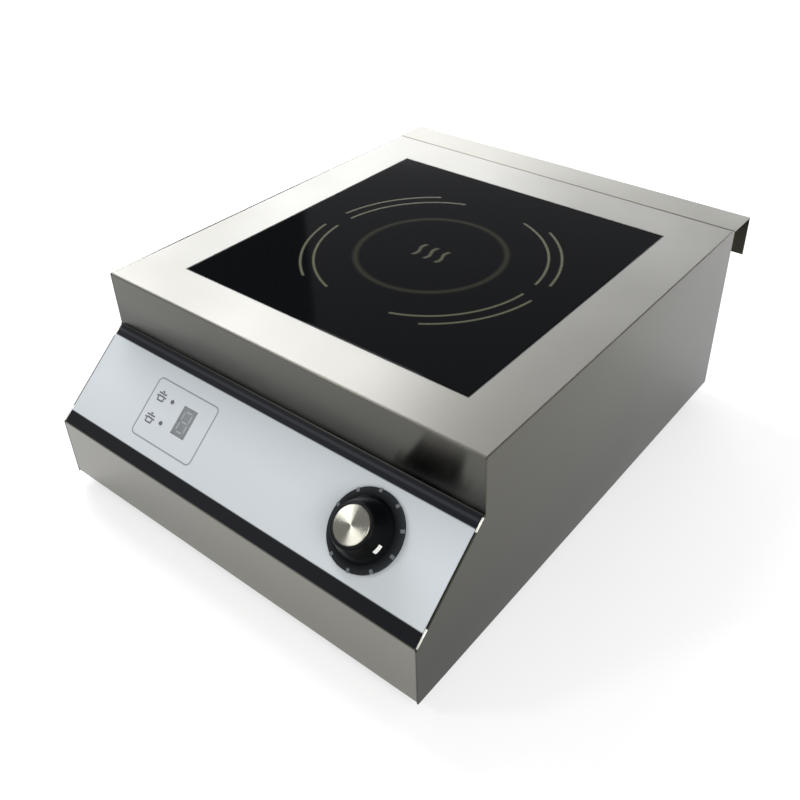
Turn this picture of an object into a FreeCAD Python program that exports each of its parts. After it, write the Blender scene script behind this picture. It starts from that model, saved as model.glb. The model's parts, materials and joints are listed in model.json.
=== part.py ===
"""Countertop induction hob for a restaurant kitchen, in millimetres.

A folded stainless housing carries a flush black glass-ceramic plate on its deck and a sloping
control panel with one rotary knob below it. Inside are the flat coil, the power board with its
heat sink, two axial fans over inlet slots in the base, and the display board behind the panel.

Frame: +X to the right, +Y to the back, +Z up. The origin is at the centre of the footprint, on
the surface that the rubber feet stand on. Each function below makes one sub-assembly and returns
its pieces by node name.
"""

import FreeCAD, Part

import math
import os

from FreeCAD import Rotation, Vector

# ---------------------------------------------------------------- housing
WIDTH = 396.0            # over the two side panels
DECK_DEPTH = 394.0       # top deck, from its front bend to the outside of the rear wall
HOOD_DEPTH = 37.0        # how far the rear hood stands out behind the rear wall
HOOD_DROP = 40.0         # how far the hood's lip turns down
BODY_HEIGHT = 171.5      # from the bottom bend to the deck
FASCIA_HEIGHT = 50.5     # upright strip below the deck's front bend
SLOPE_RUN = 76.0         # how far the control slope comes forward
SLOPE_RISE = 64.0        # and how far it drops
SHEET = 1.2              # stainless sheet
BEND = 1.0               # inside radius of every bend
SEAM = 0.4               # gap left open where two sheets meet edge to edge
OVERCUT = 2.0            # how far a cutting tool runs past the face that it cuts
SIDE_FLANGE = 12.0       # flanges turned in from the side panels
FRONT_FLANGE = 20.0      # return flange under the front
REAR_FLANGE = 16.0       # flange turned in at the foot of the rear wall
BASE_INSET = 3.0         # base plate edge, in from the outside of the housing

# ---------------------------------------------------------------- feet and fasteners
FOOT_HEIGHT = 9.0
FOOT_RADIUS = 13.0
FOOT_TAPER = 2.0
FOOT_INSET = 36.0        # foot centre, in from the sides, the front and the rear wall
FOOT_WELL = 4.0          # depth of the well for the foot's screw head
FOOT_WELL_GAP = 0.3
SCREW_RADIUS = 1.5
SCREW_HEAD_RADIUS = 2.9
SCREW_HEAD = 1.8
SCREW_HEAD_ROUND = 0.9
SCREW_CLEARANCE = 0.15
SCREW_LENGTH = 7.0
FLANGE_SCREW_X = 99.0    # screws of the front and rear flanges, from the middle
SIDE_SCREWS = 3          # screws along each side flange
SIDE_SCREW_END = 12.0    # first and last of them, in from the front and rear flanges
REAR_SCREW_LOW = 34.0    # lower screws of the rear wall, above the bottom bend
REAR_SCREW_DROP = 57.0   # upper ones, below the deck

# ---------------------------------------------------------------- glass
GLASS = 300.0            # side of the square plate
GLASS_THICKNESS = 4.0
GLASS_PROUD = 0.3        # glass surface above the deck
GLASS_MARGIN = 45.0      # from the deck's front bend to the glass
GLASS_EDGE = 0.6         # ground edge of the glass
SEAL_GAP = 1.2           # silicone bead between glass and deck
SEAL_PAD = 1.0           # silicone under the glass
SEAL_WIDTH = 12.0
SEAL_RECESS = 0.3        # bead surface below the deck
SUPPORT_SHEET = 1.5
SUPPORT_FLANGE = 12.0    # flange of the support frame under the deck, at its front and rear
SUPPORT_GAP = 1.6        # the same flange to the side panels' flanges

# ---------------------------------------------------------------- control panel
CONTROL_OFFSET = 1.5     # centre line of knob and display, above the middle of the slope
OVERLAY = 0.8            # printed film on the slope
OVERLAY_MARGIN = 1.3     # slope left bare above and below the overlay
OVERLAY_END_GAP = 0.5
WINDOW_INSET = 123.0     # window centre, in from the left side
WINDOW_WIDTH = 16.0
WINDOW_HEIGHT = 24.5
WINDOW_GAP = 0.2
WINDOW_RECESS = 0.2      # window surface below the overlay
LENS_OFFSET = 22.0       # lenses, to the left of the window
LENS_SPACING = 19.6
LENS_RADIUS = 1.7
LENS_GAP = 0.15
LENS_PROUD = 0.4
LENS_COUNT = 2

# ---------------------------------------------------------------- knob and its control
KNOB_INSET = 75.0        # knob axis, in from the right side
KNOB_GAP = 0.8           # knob skirt above the overlay
KNOB_HEIGHT = 22.2       # from the skirt's underside to the top of the moulding
SKIRT_RADIUS = 31.0
SKIRT_EDGE = 2.4         # thickness of the skirt at its rim
SKIRT_RISE = 1.8         # how much the skirt rises towards the grip
GRIP_RADIUS = 24.5       # grip where it leaves the skirt
GRIP_TOP_RADIUS = 17.0
GRIP_ROUND = 1.6
KNOB_WALL = 2.6
KNOB_BOSS_RADIUS = 6.0
KNOB_BOSS_GAP = 0.6      # knob boss above the end of the bush
CAP_RADIUS = 14.4
CAP_THICKNESS = 1.4
CAP_GAP = 0.1
CAP_PROUD = 0.5
CAP_EDGE = 0.4           # bevel round the cap
POINTER_WIDTH = 7.0      # white mark let into the grip's side, measured round the grip
POINTER_HEIGHT = 3.2
POINTER_RISE = 5.0       # lower edge of the mark above the skirt
POINTER_DEPTH = 1.0
POINTER_ANGLE = -16.5    # where the mark stands at rest, from +X towards up the slope
SHAFT_RADIUS = 3.0
SHAFT_CLEARANCE = 0.06
SHAFT_END_GAP = 1.0
SHAFT_FLAT = 1.5         # depth of the flat that the knob grips
KNOB_BORE_GAP = 0.05
CLIP = 0.5               # leaf spring between the shaft's flat and the knob
CLIP_WIDTH = 3.0
CLIP_LENGTH = 9.0
COLLAR_WIDTH = 4.0       # collar that keeps the shaft in its body, out from the shaft
COLLAR = 2.0
COLLAR_GAP = 0.3
BUSH_WALL = 2.0
BUSH_HOLE_GAP = 0.3
BUSH_END = 0.6           # bush above its nut
NUT_ACROSS = 14.0
NUT_HEIGHT = 2.6
WASHER_THICKNESS = 0.8
WASHER_RADIUS = 8.5
POT_RADIUS = 12.0
POT_DEPTH = 11.0
POT_FRONT = 2.5          # front wall of the body, behind the sheet

# ---------------------------------------------------------------- display board
BOARD = 1.6              # printed circuit board thickness
DISPLAY_BOARD_OFFSET = 10.0  # board centre, to the left of the window
DISPLAY_BOARD_WIDTH = 86.0
DISPLAY_BOARD_HEIGHT = 54.0
DIGIT_MARGIN = 1.6       # digit module beyond the window all round
DIGIT_DEPTH = 8.0        # digit module, and so the studs and lamps beside it
STUD_RADIUS = 2.9
STUD_INSET = 5.0
LED_RADIUS = 1.4

# ---------------------------------------------------------------- coil
COIL_INNER_RADIUS = 30.0
COIL_TURNS = 19
COIL_PITCH = 4.2
COIL_WIRE = 3.6          # litz bundle, as laid flat
COIL_DISC_MARGIN = 4.0
COIL_DISC = 4.0
COIL_HUB_RADIUS = 12.0   # hole for the sensor in the coil disc
MICA = 0.8
MICA_HOLE_RADIUS = 9.0
FERRITES = 8
FERRITE_WIDTH = 15.0
FERRITE_THICKNESS = 5.0
FERRITE_START = 4.0      # inner end of a bar, outside the winding's inner radius
FERRITE_END = 13.0       # outer end of a bar, inside the winding's outer radius
SHIELD = 1.5
SHIELD_MARGIN = 7.0      # shield beyond the ferrite bars
POST_HEIGHT = 8.0
POST_RADIUS = 6.0
POST_INSET = 34.0        # posts, along X and Y, in from the shield's edge
STRAP_WIDTH = 24.0
STRAP = 2.0
STRAP_TAB = 4.5          # tab at the end of a strap, against the support frame
SENSOR_RADIUS = 7.0
SENSOR_HEIGHT = 9.0
SENSOR_EDGE = 1.0
SPRING_WIRE = 0.8
SPRING_RADIUS = 5.0
SPRING_TURNS = 2

# ---------------------------------------------------------------- fans
FAN = 92.0               # side of the square frame
FAN_DEPTH = 25.4
FAN_APART = 40.0         # between the two frames
FAN_FRONT_GAP = 58.0     # fan frame behind the deck's front bend
FAN_WALL = 2.5           # frame round the bore, at its thinnest
FAN_TIP_GAP = 1.2
FAN_HUB_RADIUS = 18.0
FAN_HUB_HEIGHT = 17.0
FAN_HUB_WALL = 2.0
FAN_BLADES = 7
FAN_BLADE = 1.6
FAN_ROOT_PITCH = 52.0    # blade angle at the hub
FAN_TIP_PITCH = 38.0     # and at the tip
FAN_STRUT = 5.0
FAN_MOTOR_HEIGHT = 4.0
FAN_BEARING_FLOOR = 2.0  # left solid under the pin
FAN_PIN_RADIUS = 1.5
FAN_PIN_CLEARANCE = 0.06
FAN_SLEEVE_RADIUS = 4.0
FAN_HOLE_INSET = 4.75
FAN_CORNER = 5.0
FAN_RUN_GAP = 1.0        # rotor above its motor base

# ---------------------------------------------------------------- vents
VENT_WIDTH = 4.0
VENT_PITCH = 9.0
VENT_INSET = 3.5         # circle of inlet slots, inside the fan's bore
OUTLET_LENGTH = 46.0
OUTLET_COLUMNS = 5
OUTLET_ROWS = 8
OUTLET_PITCH = 60.0
OUTLET_TOP_GAP = 26.0    # top row, below the deck

# ---------------------------------------------------------------- power board
POWER_WIDTH = 240.0
POWER_DEPTH = 150.0
POWER_STANDOFF = 10.0
POWER_REAR_GAP = 34.0    # board edge to the rear wall
STANDOFF_ACROSS = 6.0
STANDOFF_INSET = 6.0
SINK_INSET = 21.0        # sink, in from the board's left edge
SINK_SETBACK = 64.0      # and behind its front edge
SINK_WIDTH = 142.0
SINK_DEPTH = 54.0
SINK_HEIGHT = 46.0
SINK_BASE = 6.0
SINK_FIN = 1.8
SINK_FINS = 16
SINK_LIFT = 6.0          # sink above the board, on its own feet
SINK_FOOT = 4.0
CHIP_WIDTH = 15.8
CHIP_DEPTH = 20.0
CHIP_THICKNESS = 4.8
CHIP_INSET = 8.0         # chip behind the sink's front edge
CHIP_LEG = 1.2
CHIP_LEG_REACH = 4.0
CHIPS = 4
CHIP_PITCH = 24.0
RECTIFIER_WIDTH = 30.0
CAPACITORS = 3
CAPACITOR_INSET = 35.0   # middle capacitor, in from the board's right edge
CAPACITOR_PITCH = 22.0
CAPACITOR_WIDTH = 18.0
CAPACITOR_DEPTH = 32.0
CAPACITOR_HEIGHT = 30.0
CAPACITOR_EDGE = 1.2
WOUND_SETBACK = 35.0     # choke and transformer, behind the board's front edge
CHOKE_INSET = 36.0       # choke, in from the board's left edge
CHOKE_RADIUS = 18.0
CHOKE_WALL = 8.0
CHOKE_HEIGHT = 14.0
CHOKE_WIRE = 1.8
CHOKE_TURNS = 14
TRANSFORMER_INSET = 100.0
TRANSFORMER = 24.0
TRANSFORMER_CORE = 16.0
TRANSFORMER_HEIGHT = 20.0
TRANSFORMER_STEP = 5.0   # core, in from the top and bottom of the bobbin
CONNECTOR_PITCH = 40.0
CONNECTORS = 4
CONNECTOR_WIDTH = 10.0
CONNECTOR_DEPTH = 7.0
CONNECTOR_HEIGHT = 9.0
CONNECTOR_INSET = 2.0    # connectors behind the board's front edge
COIL_TERMINAL_INSET = 26.0   # middle of the two coil terminals, in from the right edge
COIL_TERMINAL_PITCH = 20.0
COIL_TERMINAL_SETBACK = 22.0
INPUT_INSET = 7.0        # mains input connector, in from the board's left edge

# ---------------------------------------------------------------- mains entry
GLAND_INSET = 58.0       # gland axis, in from the left side
GLAND_HEIGHT = 34.0      # and above the bottom bend
GLAND_BORE_RADIUS = 7.5
GLAND_WALL = 3.5
GLAND_HEX = 27.0         # across flats
GLAND_FLANGE = 5.0
GLAND_BODY = 12.0
GLAND_NUT = 14.0
GLAND_SEAL_RADIUS = 5.0  # bore that grips the mains lead
GLAND_SEAL_LENGTH = 12.0
GLAND_LOCKNUT = 5.0
GLAND_INSIDE = 10.0
TERMINAL_GAP = 14.0      # terminal block, beside the power board
TERMINAL_SETBACK = 41.0  # its middle, in front of the board's rear edge
TERMINAL_WIDTH = 28.0
TERMINAL_POLES = 3
TERMINAL_PITCH = 13.0
TERMINAL_HEIGHT = 22.0
TERMINAL_WELL = 11.0
EARTH_GAP = 24.0         # earth stud, in front of the terminal block
EARTH_STUD = 16.0
EARTH_NUT_ACROSS = 12.0
EARTH_NUT = 4.0

# ---------------------------------------------------------------- leads
COIL_LEAD_RADIUS = 2.0
SIGNAL_LEAD_RADIUS = 1.4
MAINS_LEAD_RADIUS = 1.7
LEAD_HOLE_GAP = 0.5      # round the leads that pass through disc and shield
LEAD_DROP = 24.0         # how far a lead runs straight out of where it is fixed
LEAD_TURN = 12.0         # the same, where there is less room
LEAD_BEND_SHARE = 0.45   # part of each straight run that a bend may take
DISPLAY_LEAD_INSET = 19.0    # display lead, in from the left edge of the display board
CONTROL_LEAD_INSET = 10.0    # control lead, in from its right edge

# ---------------------------------------------------------------- places worked out from them
TOTAL_DEPTH = SLOPE_RUN + DECK_DEPTH + HOOD_DEPTH
FRONT_Y = -TOTAL_DEPTH / 2
DECK_FRONT_Y = FRONT_Y + SLOPE_RUN
BACK_Y = DECK_FRONT_Y + DECK_DEPTH
REAR_Y = BACK_Y + HOOD_DEPTH
BOTTOM_Z = FOOT_HEIGHT + SHEET
TOP_Z = BOTTOM_Z + BODY_HEIGHT
FASCIA_Z = TOP_Z - FASCIA_HEIGHT
SLOPE_Z = FASCIA_Z - SLOPE_RISE
SLOPE_LENGTH = math.hypot(SLOPE_RUN, SLOPE_RISE)
SLOPE_ANGLE = math.degrees(math.atan2(SLOPE_RISE, SLOPE_RUN))
INSIDE_X = WIDTH / 2 - SHEET

GLASS_Y = DECK_FRONT_Y + GLASS_MARGIN + GLASS / 2
GLASS_BOTTOM = TOP_Z + GLASS_PROUD - GLASS_THICKNESS
LEDGE_Z = GLASS_BOTTOM - SEAL_PAD
CUTOUT = GLASS / 2 + SEAL_GAP
LEDGE_INNER = GLASS / 2 - SEAL_WIDTH
SUPPORT_X = INSIDE_X - SIDE_FLANGE - SUPPORT_GAP
SUPPORT_Y = CUTOUT + SUPPORT_FLANGE

CONTROL_LINE = SLOPE_LENGTH / 2 + CONTROL_OFFSET
WINDOW_X = -WIDTH / 2 + WINDOW_INSET
LENS_X = WINDOW_X - LENS_OFFSET
DISPLAY_BOARD_X = WINDOW_X - DISPLAY_BOARD_OFFSET
DISPLAY_LEFT_X = DISPLAY_BOARD_X - DISPLAY_BOARD_WIDTH / 2
DISPLAY_RIGHT_X = DISPLAY_BOARD_X + DISPLAY_BOARD_WIDTH / 2
DIGIT_BACK = -SHEET - DIGIT_DEPTH
DISPLAY_BACK = DIGIT_BACK - BOARD

KNOB_X = WIDTH / 2 - KNOB_INSET
KNOB_BASE = OVERLAY + KNOB_GAP
KNOB_TOP = KNOB_BASE + KNOB_HEIGHT
SKIRT_TOP = KNOB_BASE + SKIRT_EDGE + SKIRT_RISE
CAP_FLOOR = KNOB_TOP + CAP_PROUD - CAP_THICKNESS
KNOB_CEILING = CAP_FLOOR - KNOB_WALL
BUSH_RADIUS = SHAFT_RADIUS + BUSH_WALL
NUT_BASE = OVERLAY + WASHER_THICKNESS
BUSH_TOP = NUT_BASE + NUT_HEIGHT + BUSH_END
BOSS_BASE = BUSH_TOP + KNOB_BOSS_GAP
SHAFT_TOP = KNOB_CEILING - SHAFT_END_GAP
POT_BACK = -SHEET - POT_DEPTH

COIL_RADIUS = COIL_INNER_RADIUS + COIL_TURNS * COIL_PITCH
COIL_DISC_RADIUS = COIL_RADIUS + COIL_DISC_MARGIN
FERRITE_INNER = COIL_INNER_RADIUS + FERRITE_START
FERRITE_OUTER = COIL_RADIUS - FERRITE_END
SHIELD_RADIUS = FERRITE_OUTER + SHIELD_MARGIN
POST_PLACE = SHIELD_RADIUS - POST_INSET
MICA_Z = GLASS_BOTTOM - MICA
COIL_Z = MICA_Z - COIL_WIRE
COIL_DISC_Z = COIL_Z - COIL_DISC
FERRITE_Z = COIL_DISC_Z - FERRITE_THICKNESS
SHIELD_Z = FERRITE_Z - SHIELD
STRAP_Z = SHIELD_Z - POST_HEIGHT - STRAP
SENSOR_Z = GLASS_BOTTOM - SENSOR_HEIGHT

FAN_X = (FAN + FAN_APART) / 2
FAN_Y = DECK_FRONT_Y + FAN_FRONT_GAP + FAN / 2
FAN_BORE_RADIUS = FAN / 2 - FAN_WALL
FAN_TIP_RADIUS = FAN_BORE_RADIUS - FAN_TIP_GAP
FAN_ROTOR_BASE = FAN_MOTOR_HEIGHT + FAN_RUN_GAP
FAN_ROTOR_TOP = FAN_ROTOR_BASE + FAN_HUB_HEIGHT
FAN_SLEEVE_TOP = FAN_ROTOR_TOP - FAN_HUB_WALL - FAN_RUN_GAP
VENT_RADIUS = FAN_BORE_RADIUS - VENT_INSET

POWER_LEFT_X = -POWER_WIDTH / 2
POWER_RIGHT_X = POWER_WIDTH / 2
POWER_BACK_Y = BACK_Y - POWER_REAR_GAP
POWER_FRONT_Y = POWER_BACK_Y - POWER_DEPTH
BOARD_Z = BOTTOM_Z + POWER_STANDOFF
BOARD_TOP = BOARD_Z + BOARD
SINK_LEFT_X = POWER_LEFT_X + SINK_INSET
SINK_RIGHT_X = SINK_LEFT_X + SINK_WIDTH
SINK_FRONT_Y = POWER_FRONT_Y + SINK_SETBACK
SINK_Z = BOARD_TOP + SINK_LIFT
WOUND_Y = POWER_FRONT_Y + WOUND_SETBACK
CHOKE_X = POWER_LEFT_X + CHOKE_INSET
TRANSFORMER_X = POWER_LEFT_X + TRANSFORMER_INSET
CONNECTOR_Y = POWER_FRONT_Y + CONNECTOR_INSET
CONNECTOR_TOP = BOARD_TOP + CONNECTOR_HEIGHT
CONNECTOR_X = [(i - (CONNECTORS - 1) / 2) * CONNECTOR_PITCH for i in range(CONNECTORS)]
COIL_TERMINAL_X = [POWER_RIGHT_X - COIL_TERMINAL_INSET + side * COIL_TERMINAL_PITCH / 2 for side in (-1, 1)]
COIL_TERMINAL_Y = POWER_FRONT_Y + COIL_TERMINAL_SETBACK
INPUT_X = POWER_LEFT_X + INPUT_INSET

GLAND_X = -WIDTH / 2 + GLAND_INSET
GLAND_Z = BOTTOM_Z + GLAND_HEIGHT
GLAND_THREAD_RADIUS = GLAND_BORE_RADIUS + GLAND_WALL
TERMINAL_X = POWER_LEFT_X - TERMINAL_GAP - TERMINAL_WIDTH / 2
TERMINAL_Y = POWER_BACK_Y - TERMINAL_SETBACK
TERMINAL_LENGTH = TERMINAL_POLES * TERMINAL_PITCH
TERMINAL_FRONT_Y = TERMINAL_Y - TERMINAL_LENGTH / 2
EARTH_Y = TERMINAL_FRONT_Y - EARTH_GAP

ALONG_X = Vector(1, 0, 0)
ALONG_Y = Vector(0, 1, 0)
ALONG_Z = Vector(0, 0, 1)


# ================================================================ helpers
def box(x0, x1, y0, y1, z0, z1):
    """A box between two corners."""
    return Part.makeBox(x1 - x0, y1 - y0, z1 - z0, Vector(x0, y0, z0))


def cylinder(radius, length, base, axis=ALONG_Z):
    """A cylinder that starts at base and runs along axis."""
    return Part.makeCylinder(radius, length, Vector(*base), axis)


def ring(outer, inner, length, base, axis=ALONG_Z):
    """A round tube."""
    return cylinder(outer, length, base, axis).cut(cylinder(inner, length, base, axis))


def hexagon(across, length, base, axis=ALONG_Z):
    """A hexagonal prism, given the distance across its flats."""
    corner = across / math.sqrt(3)
    points = [Vector(corner * math.cos(math.radians(60 * i)), corner * math.sin(math.radians(60 * i)), 0)
              for i in range(7)]
    prism = Part.Face(Part.makePolygon(points)).extrude(Vector(0, 0, length))
    prism.Placement = FreeCAD.Placement(Vector(*base), Rotation(ALONG_Z, axis))
    return prism


def square_ring(outer, inner, z0, z1, y):
    """A square frame centred on x = 0 and on y, given its outer and inner half widths."""
    whole = box(-outer, outer, y - outer, y + outer, z0, z1)
    return whole.cut(box(-inner, inner, y - inner, y + inner, z0, z1))


def slot(length, width, depth, centre):
    """A round-ended slot along X that cuts downwards through depth from centre."""
    x, y, z = centre
    half = length / 2 - width / 2
    bar = box(x - half, x + half, y - width / 2, y + width / 2, z, z + depth)
    for end in (x - half, x + half):
        bar = bar.fuse(cylinder(width / 2, depth, (end, y, z)))
    return bar


def joined(shapes):
    """One clean solid out of pieces that touch or overlap."""
    first, rest = shapes[0], shapes[1:]
    return first.multiFuse(rest).removeSplitter() if rest else first


def group(shapes):
    """Separate solids that share one node."""
    return Part.makeCompound(shapes)


def cut_all(shape, tools):
    """The shape with every tool taken out of it."""
    return shape.cut(Part.makeCompound(tools)) if tools else shape


def mirrored(shape):
    """The same piece on the other side of the hob."""
    return shape.mirror(Vector(0, 0, 0), ALONG_X)


def on_slope(shape):
    """Moves a piece from slope axes to the hob's: X along the slope, Y up it, Z out of its face."""
    placement = FreeCAD.Placement(Vector(0, FRONT_Y, SLOPE_Z), Rotation(ALONG_X, SLOPE_ANGLE))
    moved = shape.copy()
    moved.Placement = placement.multiply(shape.Placement)
    return moved


# ---------------------------------------------------------------- bent sheet
def directions(line):
    """Unit directions of the runs of a (y, z) line."""
    found = []
    for (y0, z0), (y1, z1) in zip(line, line[1:]):
        length = math.hypot(y1 - y0, z1 - z0)
        found.append(((y1 - y0) / length, (z1 - z0) / length))
    return found


def moved_left(line, depth):
    """The line moved to its left by depth, with mitred corners."""
    runs = directions(line)
    moved = []
    for i, (y, z) in enumerate(line):
        before, after = runs[max(i - 1, 0)], runs[min(i, len(runs) - 1)]
        share = depth / (1 + before[0] * after[0] + before[1] * after[1])
        moved.append((y - share * (before[1] + after[1]), z + share * (before[0] + after[0])))
    return moved


def bent_edges(line, depth, x):
    """Edges of the sheet's face at a depth below the line: straight runs joined by bend arcs."""
    points = moved_left(line, depth)
    runs = directions(line)
    edges = []
    start = Vector(x, *points[0])
    for i in range(1, len(points) - 1):
        before, after = runs[i - 1], runs[i]
        turn = before[0] * after[1] - before[1] * after[0]
        angle = math.atan2(abs(turn), before[0] * after[0] + before[1] * after[1])
        radius = max(BEND + SHEET - depth, 0) if turn > 0 else BEND + depth
        corner = Vector(x, *points[i])
        if radius > 0:
            reach = radius * math.tan(angle / 2)
            into = corner - Vector(0, *before) * reach
            out = corner + Vector(0, *after) * reach
            inward = (Vector(0, *after) - Vector(0, *before)).normalize()
            middle = corner + inward * (radius / math.cos(angle / 2) - radius)
            edges.append(Part.makeLine(start, into))
            edges.append(Part.Arc(into, middle, out).toShape())
            start = out
        else:
            edges.append(Part.makeLine(start, corner))
            start = corner
    edges.append(Part.makeLine(start, Vector(x, *points[-1])))
    return edges


def folded_sheet(line, x0, x1, depth=0.0, thickness=SHEET):
    """A folded sheet between two depths below a (y, z) line, with the metal on the line's left."""
    outer = bent_edges(line, depth, x0)
    inner = bent_edges(line, depth + thickness, x0)
    first = Part.makeLine(outer[0].Vertexes[0].Point, inner[0].Vertexes[0].Point)
    last = Part.makeLine(outer[-1].Vertexes[-1].Point, inner[-1].Vertexes[-1].Point)
    edges = Part.__sortEdges__(outer + [last] + inner + [first])
    return Part.Face(Part.Wire(edges)).extrude(Vector(x1 - x0, 0, 0))


def profile_plate(line, x0, x1):
    """A flat plate cut to a (y, z) line whose bends are rounded, closed by one straight edge."""
    edges = bent_edges(line, 0.0, x0)
    closing = Part.makeLine(edges[-1].Vertexes[-1].Point, edges[0].Vertexes[0].Point)
    face = Part.Face(Part.Wire(Part.__sortEdges__(edges + [closing])))
    return face.extrude(Vector(x1 - x0, 0, 0))


# ---------------------------------------------------------------- fasteners and wires
def screw(head, axis, length=SCREW_LENGTH):
    """A pan head screw. Head is the point under the head, and axis the way the shank goes."""
    back = Vector(*head) - axis * SCREW_HEAD
    cap = Part.makeCylinder(SCREW_HEAD_RADIUS, SCREW_HEAD, back, axis)
    rim = [edge for edge in cap.Edges if edge.Curve.TypeId == "Part::GeomCircle"
           and (edge.Curve.Center - back).Length < SCREW_HEAD / 2]
    cap = cap.makeFillet(SCREW_HEAD_ROUND, rim)
    shank = Part.makeCylinder(SCREW_RADIUS, length, Vector(*head), axis)
    return cap.fuse(shank).removeSplitter()


def screw_hole(head, axis, length=SCREW_LENGTH):
    """The hole that such a screw goes through."""
    start = Vector(*head) - axis * OVERCUT
    return Part.makeCylinder(SCREW_RADIUS + SCREW_CLEARANCE, length + 2 * OVERCUT, start, axis)


def routed(points, radius):
    """A round wire along points, straight between them and rounded at each one."""
    points = [Vector(*p) for p in points]
    edges = []
    start = points[0]
    for i in range(1, len(points) - 1):
        before = (points[i] - points[i - 1])
        after = (points[i + 1] - points[i])
        reach = LEAD_BEND_SHARE * min(before.Length, after.Length)
        before, after = before.normalize(), after.normalize()
        angle = before.getAngle(after)
        bend = reach / math.tan(angle / 2)
        into = points[i] - before * reach
        out = points[i] + after * reach
        inward = (after - before).normalize()
        middle = points[i] + inward * (bend / math.cos(angle / 2) - bend)
        edges.append(Part.makeLine(start, into))
        edges.append(Part.Arc(into, middle, out).toShape())
        start = out
    edges.append(Part.makeLine(start, points[-1]))
    path = Part.Wire(edges)
    section = Part.Wire([Part.makeCircle(radius, points[0], points[1] - points[0])])
    return path.makePipeShell([section], True, False)


# ================================================================ housing
def cover_line():
    """Outer line of the folded cover, from the deck's rear edge to the flange under the front."""
    return [(BACK_Y - SHEET - SEAM, TOP_Z), (DECK_FRONT_Y, TOP_Z), (DECK_FRONT_Y, FASCIA_Z),
            (FRONT_Y, SLOPE_Z), (FRONT_Y, BOTTOM_Z), (FRONT_Y + FRONT_FLANGE, BOTTOM_Z)]


def side_line():
    """Outline of a side panel, from the rear wall's foot round to the front's foot."""
    return [(BACK_Y, BOTTOM_Z), (BACK_Y, TOP_Z), (DECK_FRONT_Y, TOP_Z), (DECK_FRONT_Y, FASCIA_Z),
            (FRONT_Y, SLOPE_Z), (FRONT_Y, BOTTOM_Z)]


def rear_line():
    """Line of the rear wall and its hood, from the lip over the hood and down to the foot flange."""
    inner = BACK_Y - SHEET
    foot = BOTTOM_Z + SHEET
    return [(REAR_Y, TOP_Z - HOOD_DROP), (REAR_Y, TOP_Z), (inner, TOP_Z), (inner, foot),
            (BACK_Y - REAR_FLANGE, foot)]


def window_cut(grow, z0, z1):
    """The display window's outline on the slope, grown by a gap."""
    half_x, half_y = WINDOW_WIDTH / 2 + grow, WINDOW_HEIGHT / 2 + grow
    return box(WINDOW_X - half_x, WINDOW_X + half_x, CONTROL_LINE - half_y, CONTROL_LINE + half_y, z0, z1)


def lens_places():
    """Centres of the indicator lenses on the slope."""
    return [(LENS_X, CONTROL_LINE + (i - (LENS_COUNT - 1) / 2) * LENS_SPACING) for i in range(LENS_COUNT)]


def slope_openings(z0, z1):
    """Window, lens and control shaft openings through whatever lies on the slope."""
    tools = [window_cut(WINDOW_GAP, z0, z1)]
    tools += [cylinder(LENS_RADIUS + LENS_GAP, z1 - z0, (x, y, z0)) for x, y in lens_places()]
    tools.append(cylinder(BUSH_RADIUS + BUSH_HOLE_GAP, z1 - z0, (KNOB_X, CONTROL_LINE, z0)))
    return [on_slope(tool) for tool in tools]


def flange_screws():
    """Head points of the screws that hold the base plate to the front and rear flanges."""
    rows = (FRONT_Y + (FRONT_FLANGE + SHEET) / 2, BACK_Y - REAR_FLANGE / 2)
    return [(side * FLANGE_SCREW_X, y) for y in rows for side in (-1, 1)]


def side_screws():
    """Head points of the screws that hold the base plate to the side flanges."""
    x = INSIDE_X - SIDE_FLANGE / 2
    first = FRONT_Y + FRONT_FLANGE + SIDE_SCREW_END
    step = (BACK_Y - REAR_FLANGE - SIDE_SCREW_END - first) / (SIDE_SCREWS - 1)
    return [(side * x, first + step * i) for i in range(SIDE_SCREWS) for side in (-1, 1)]


def base_screw_places():
    """Where each base screw's head meets the base plate."""
    return [(x, y, BOTTOM_Z - SHEET) for x, y in flange_screws() + side_screws()]


def rear_screw_places():
    """Where the screws that hold the rear wall to the side panels have their heads."""
    x = INSIDE_X - SIDE_FLANGE / 2
    heights = (BOTTOM_Z + REAR_SCREW_LOW, TOP_Z - REAR_SCREW_DROP)
    return [(side * x, BACK_Y, z) for z in heights for side in (-1, 1)]


def foot_places():
    """Centres of the four feet."""
    x = WIDTH / 2 - FOOT_INSET
    return [(side * x, y) for y in (FRONT_Y + FOOT_INSET, BACK_Y - FOOT_INSET) for side in (-1, 1)]


def fan_places():
    """Centres of the two fans, by name."""
    return {"left": (-FAN_X, FAN_Y), "right": (FAN_X, FAN_Y)}


def make_cover():
    """Deck, fascia, control slope and lower front, folded from one sheet."""
    half = INSIDE_X - SEAM
    cover = folded_sheet(cover_line(), -half, half)
    cutout = box(-CUTOUT, CUTOUT, GLASS_Y - CUTOUT, GLASS_Y + CUTOUT, TOP_Z - SHEET - OVERCUT,
                 TOP_Z + OVERCUT)
    holes = [screw_hole((x, y, BOTTOM_Z - SHEET), ALONG_Z) for x, y in flange_screws()]
    return {"top_cover": cut_all(cover, [cutout] + slope_openings(-SHEET - OVERCUT, OVERCUT) + holes)}


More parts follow.
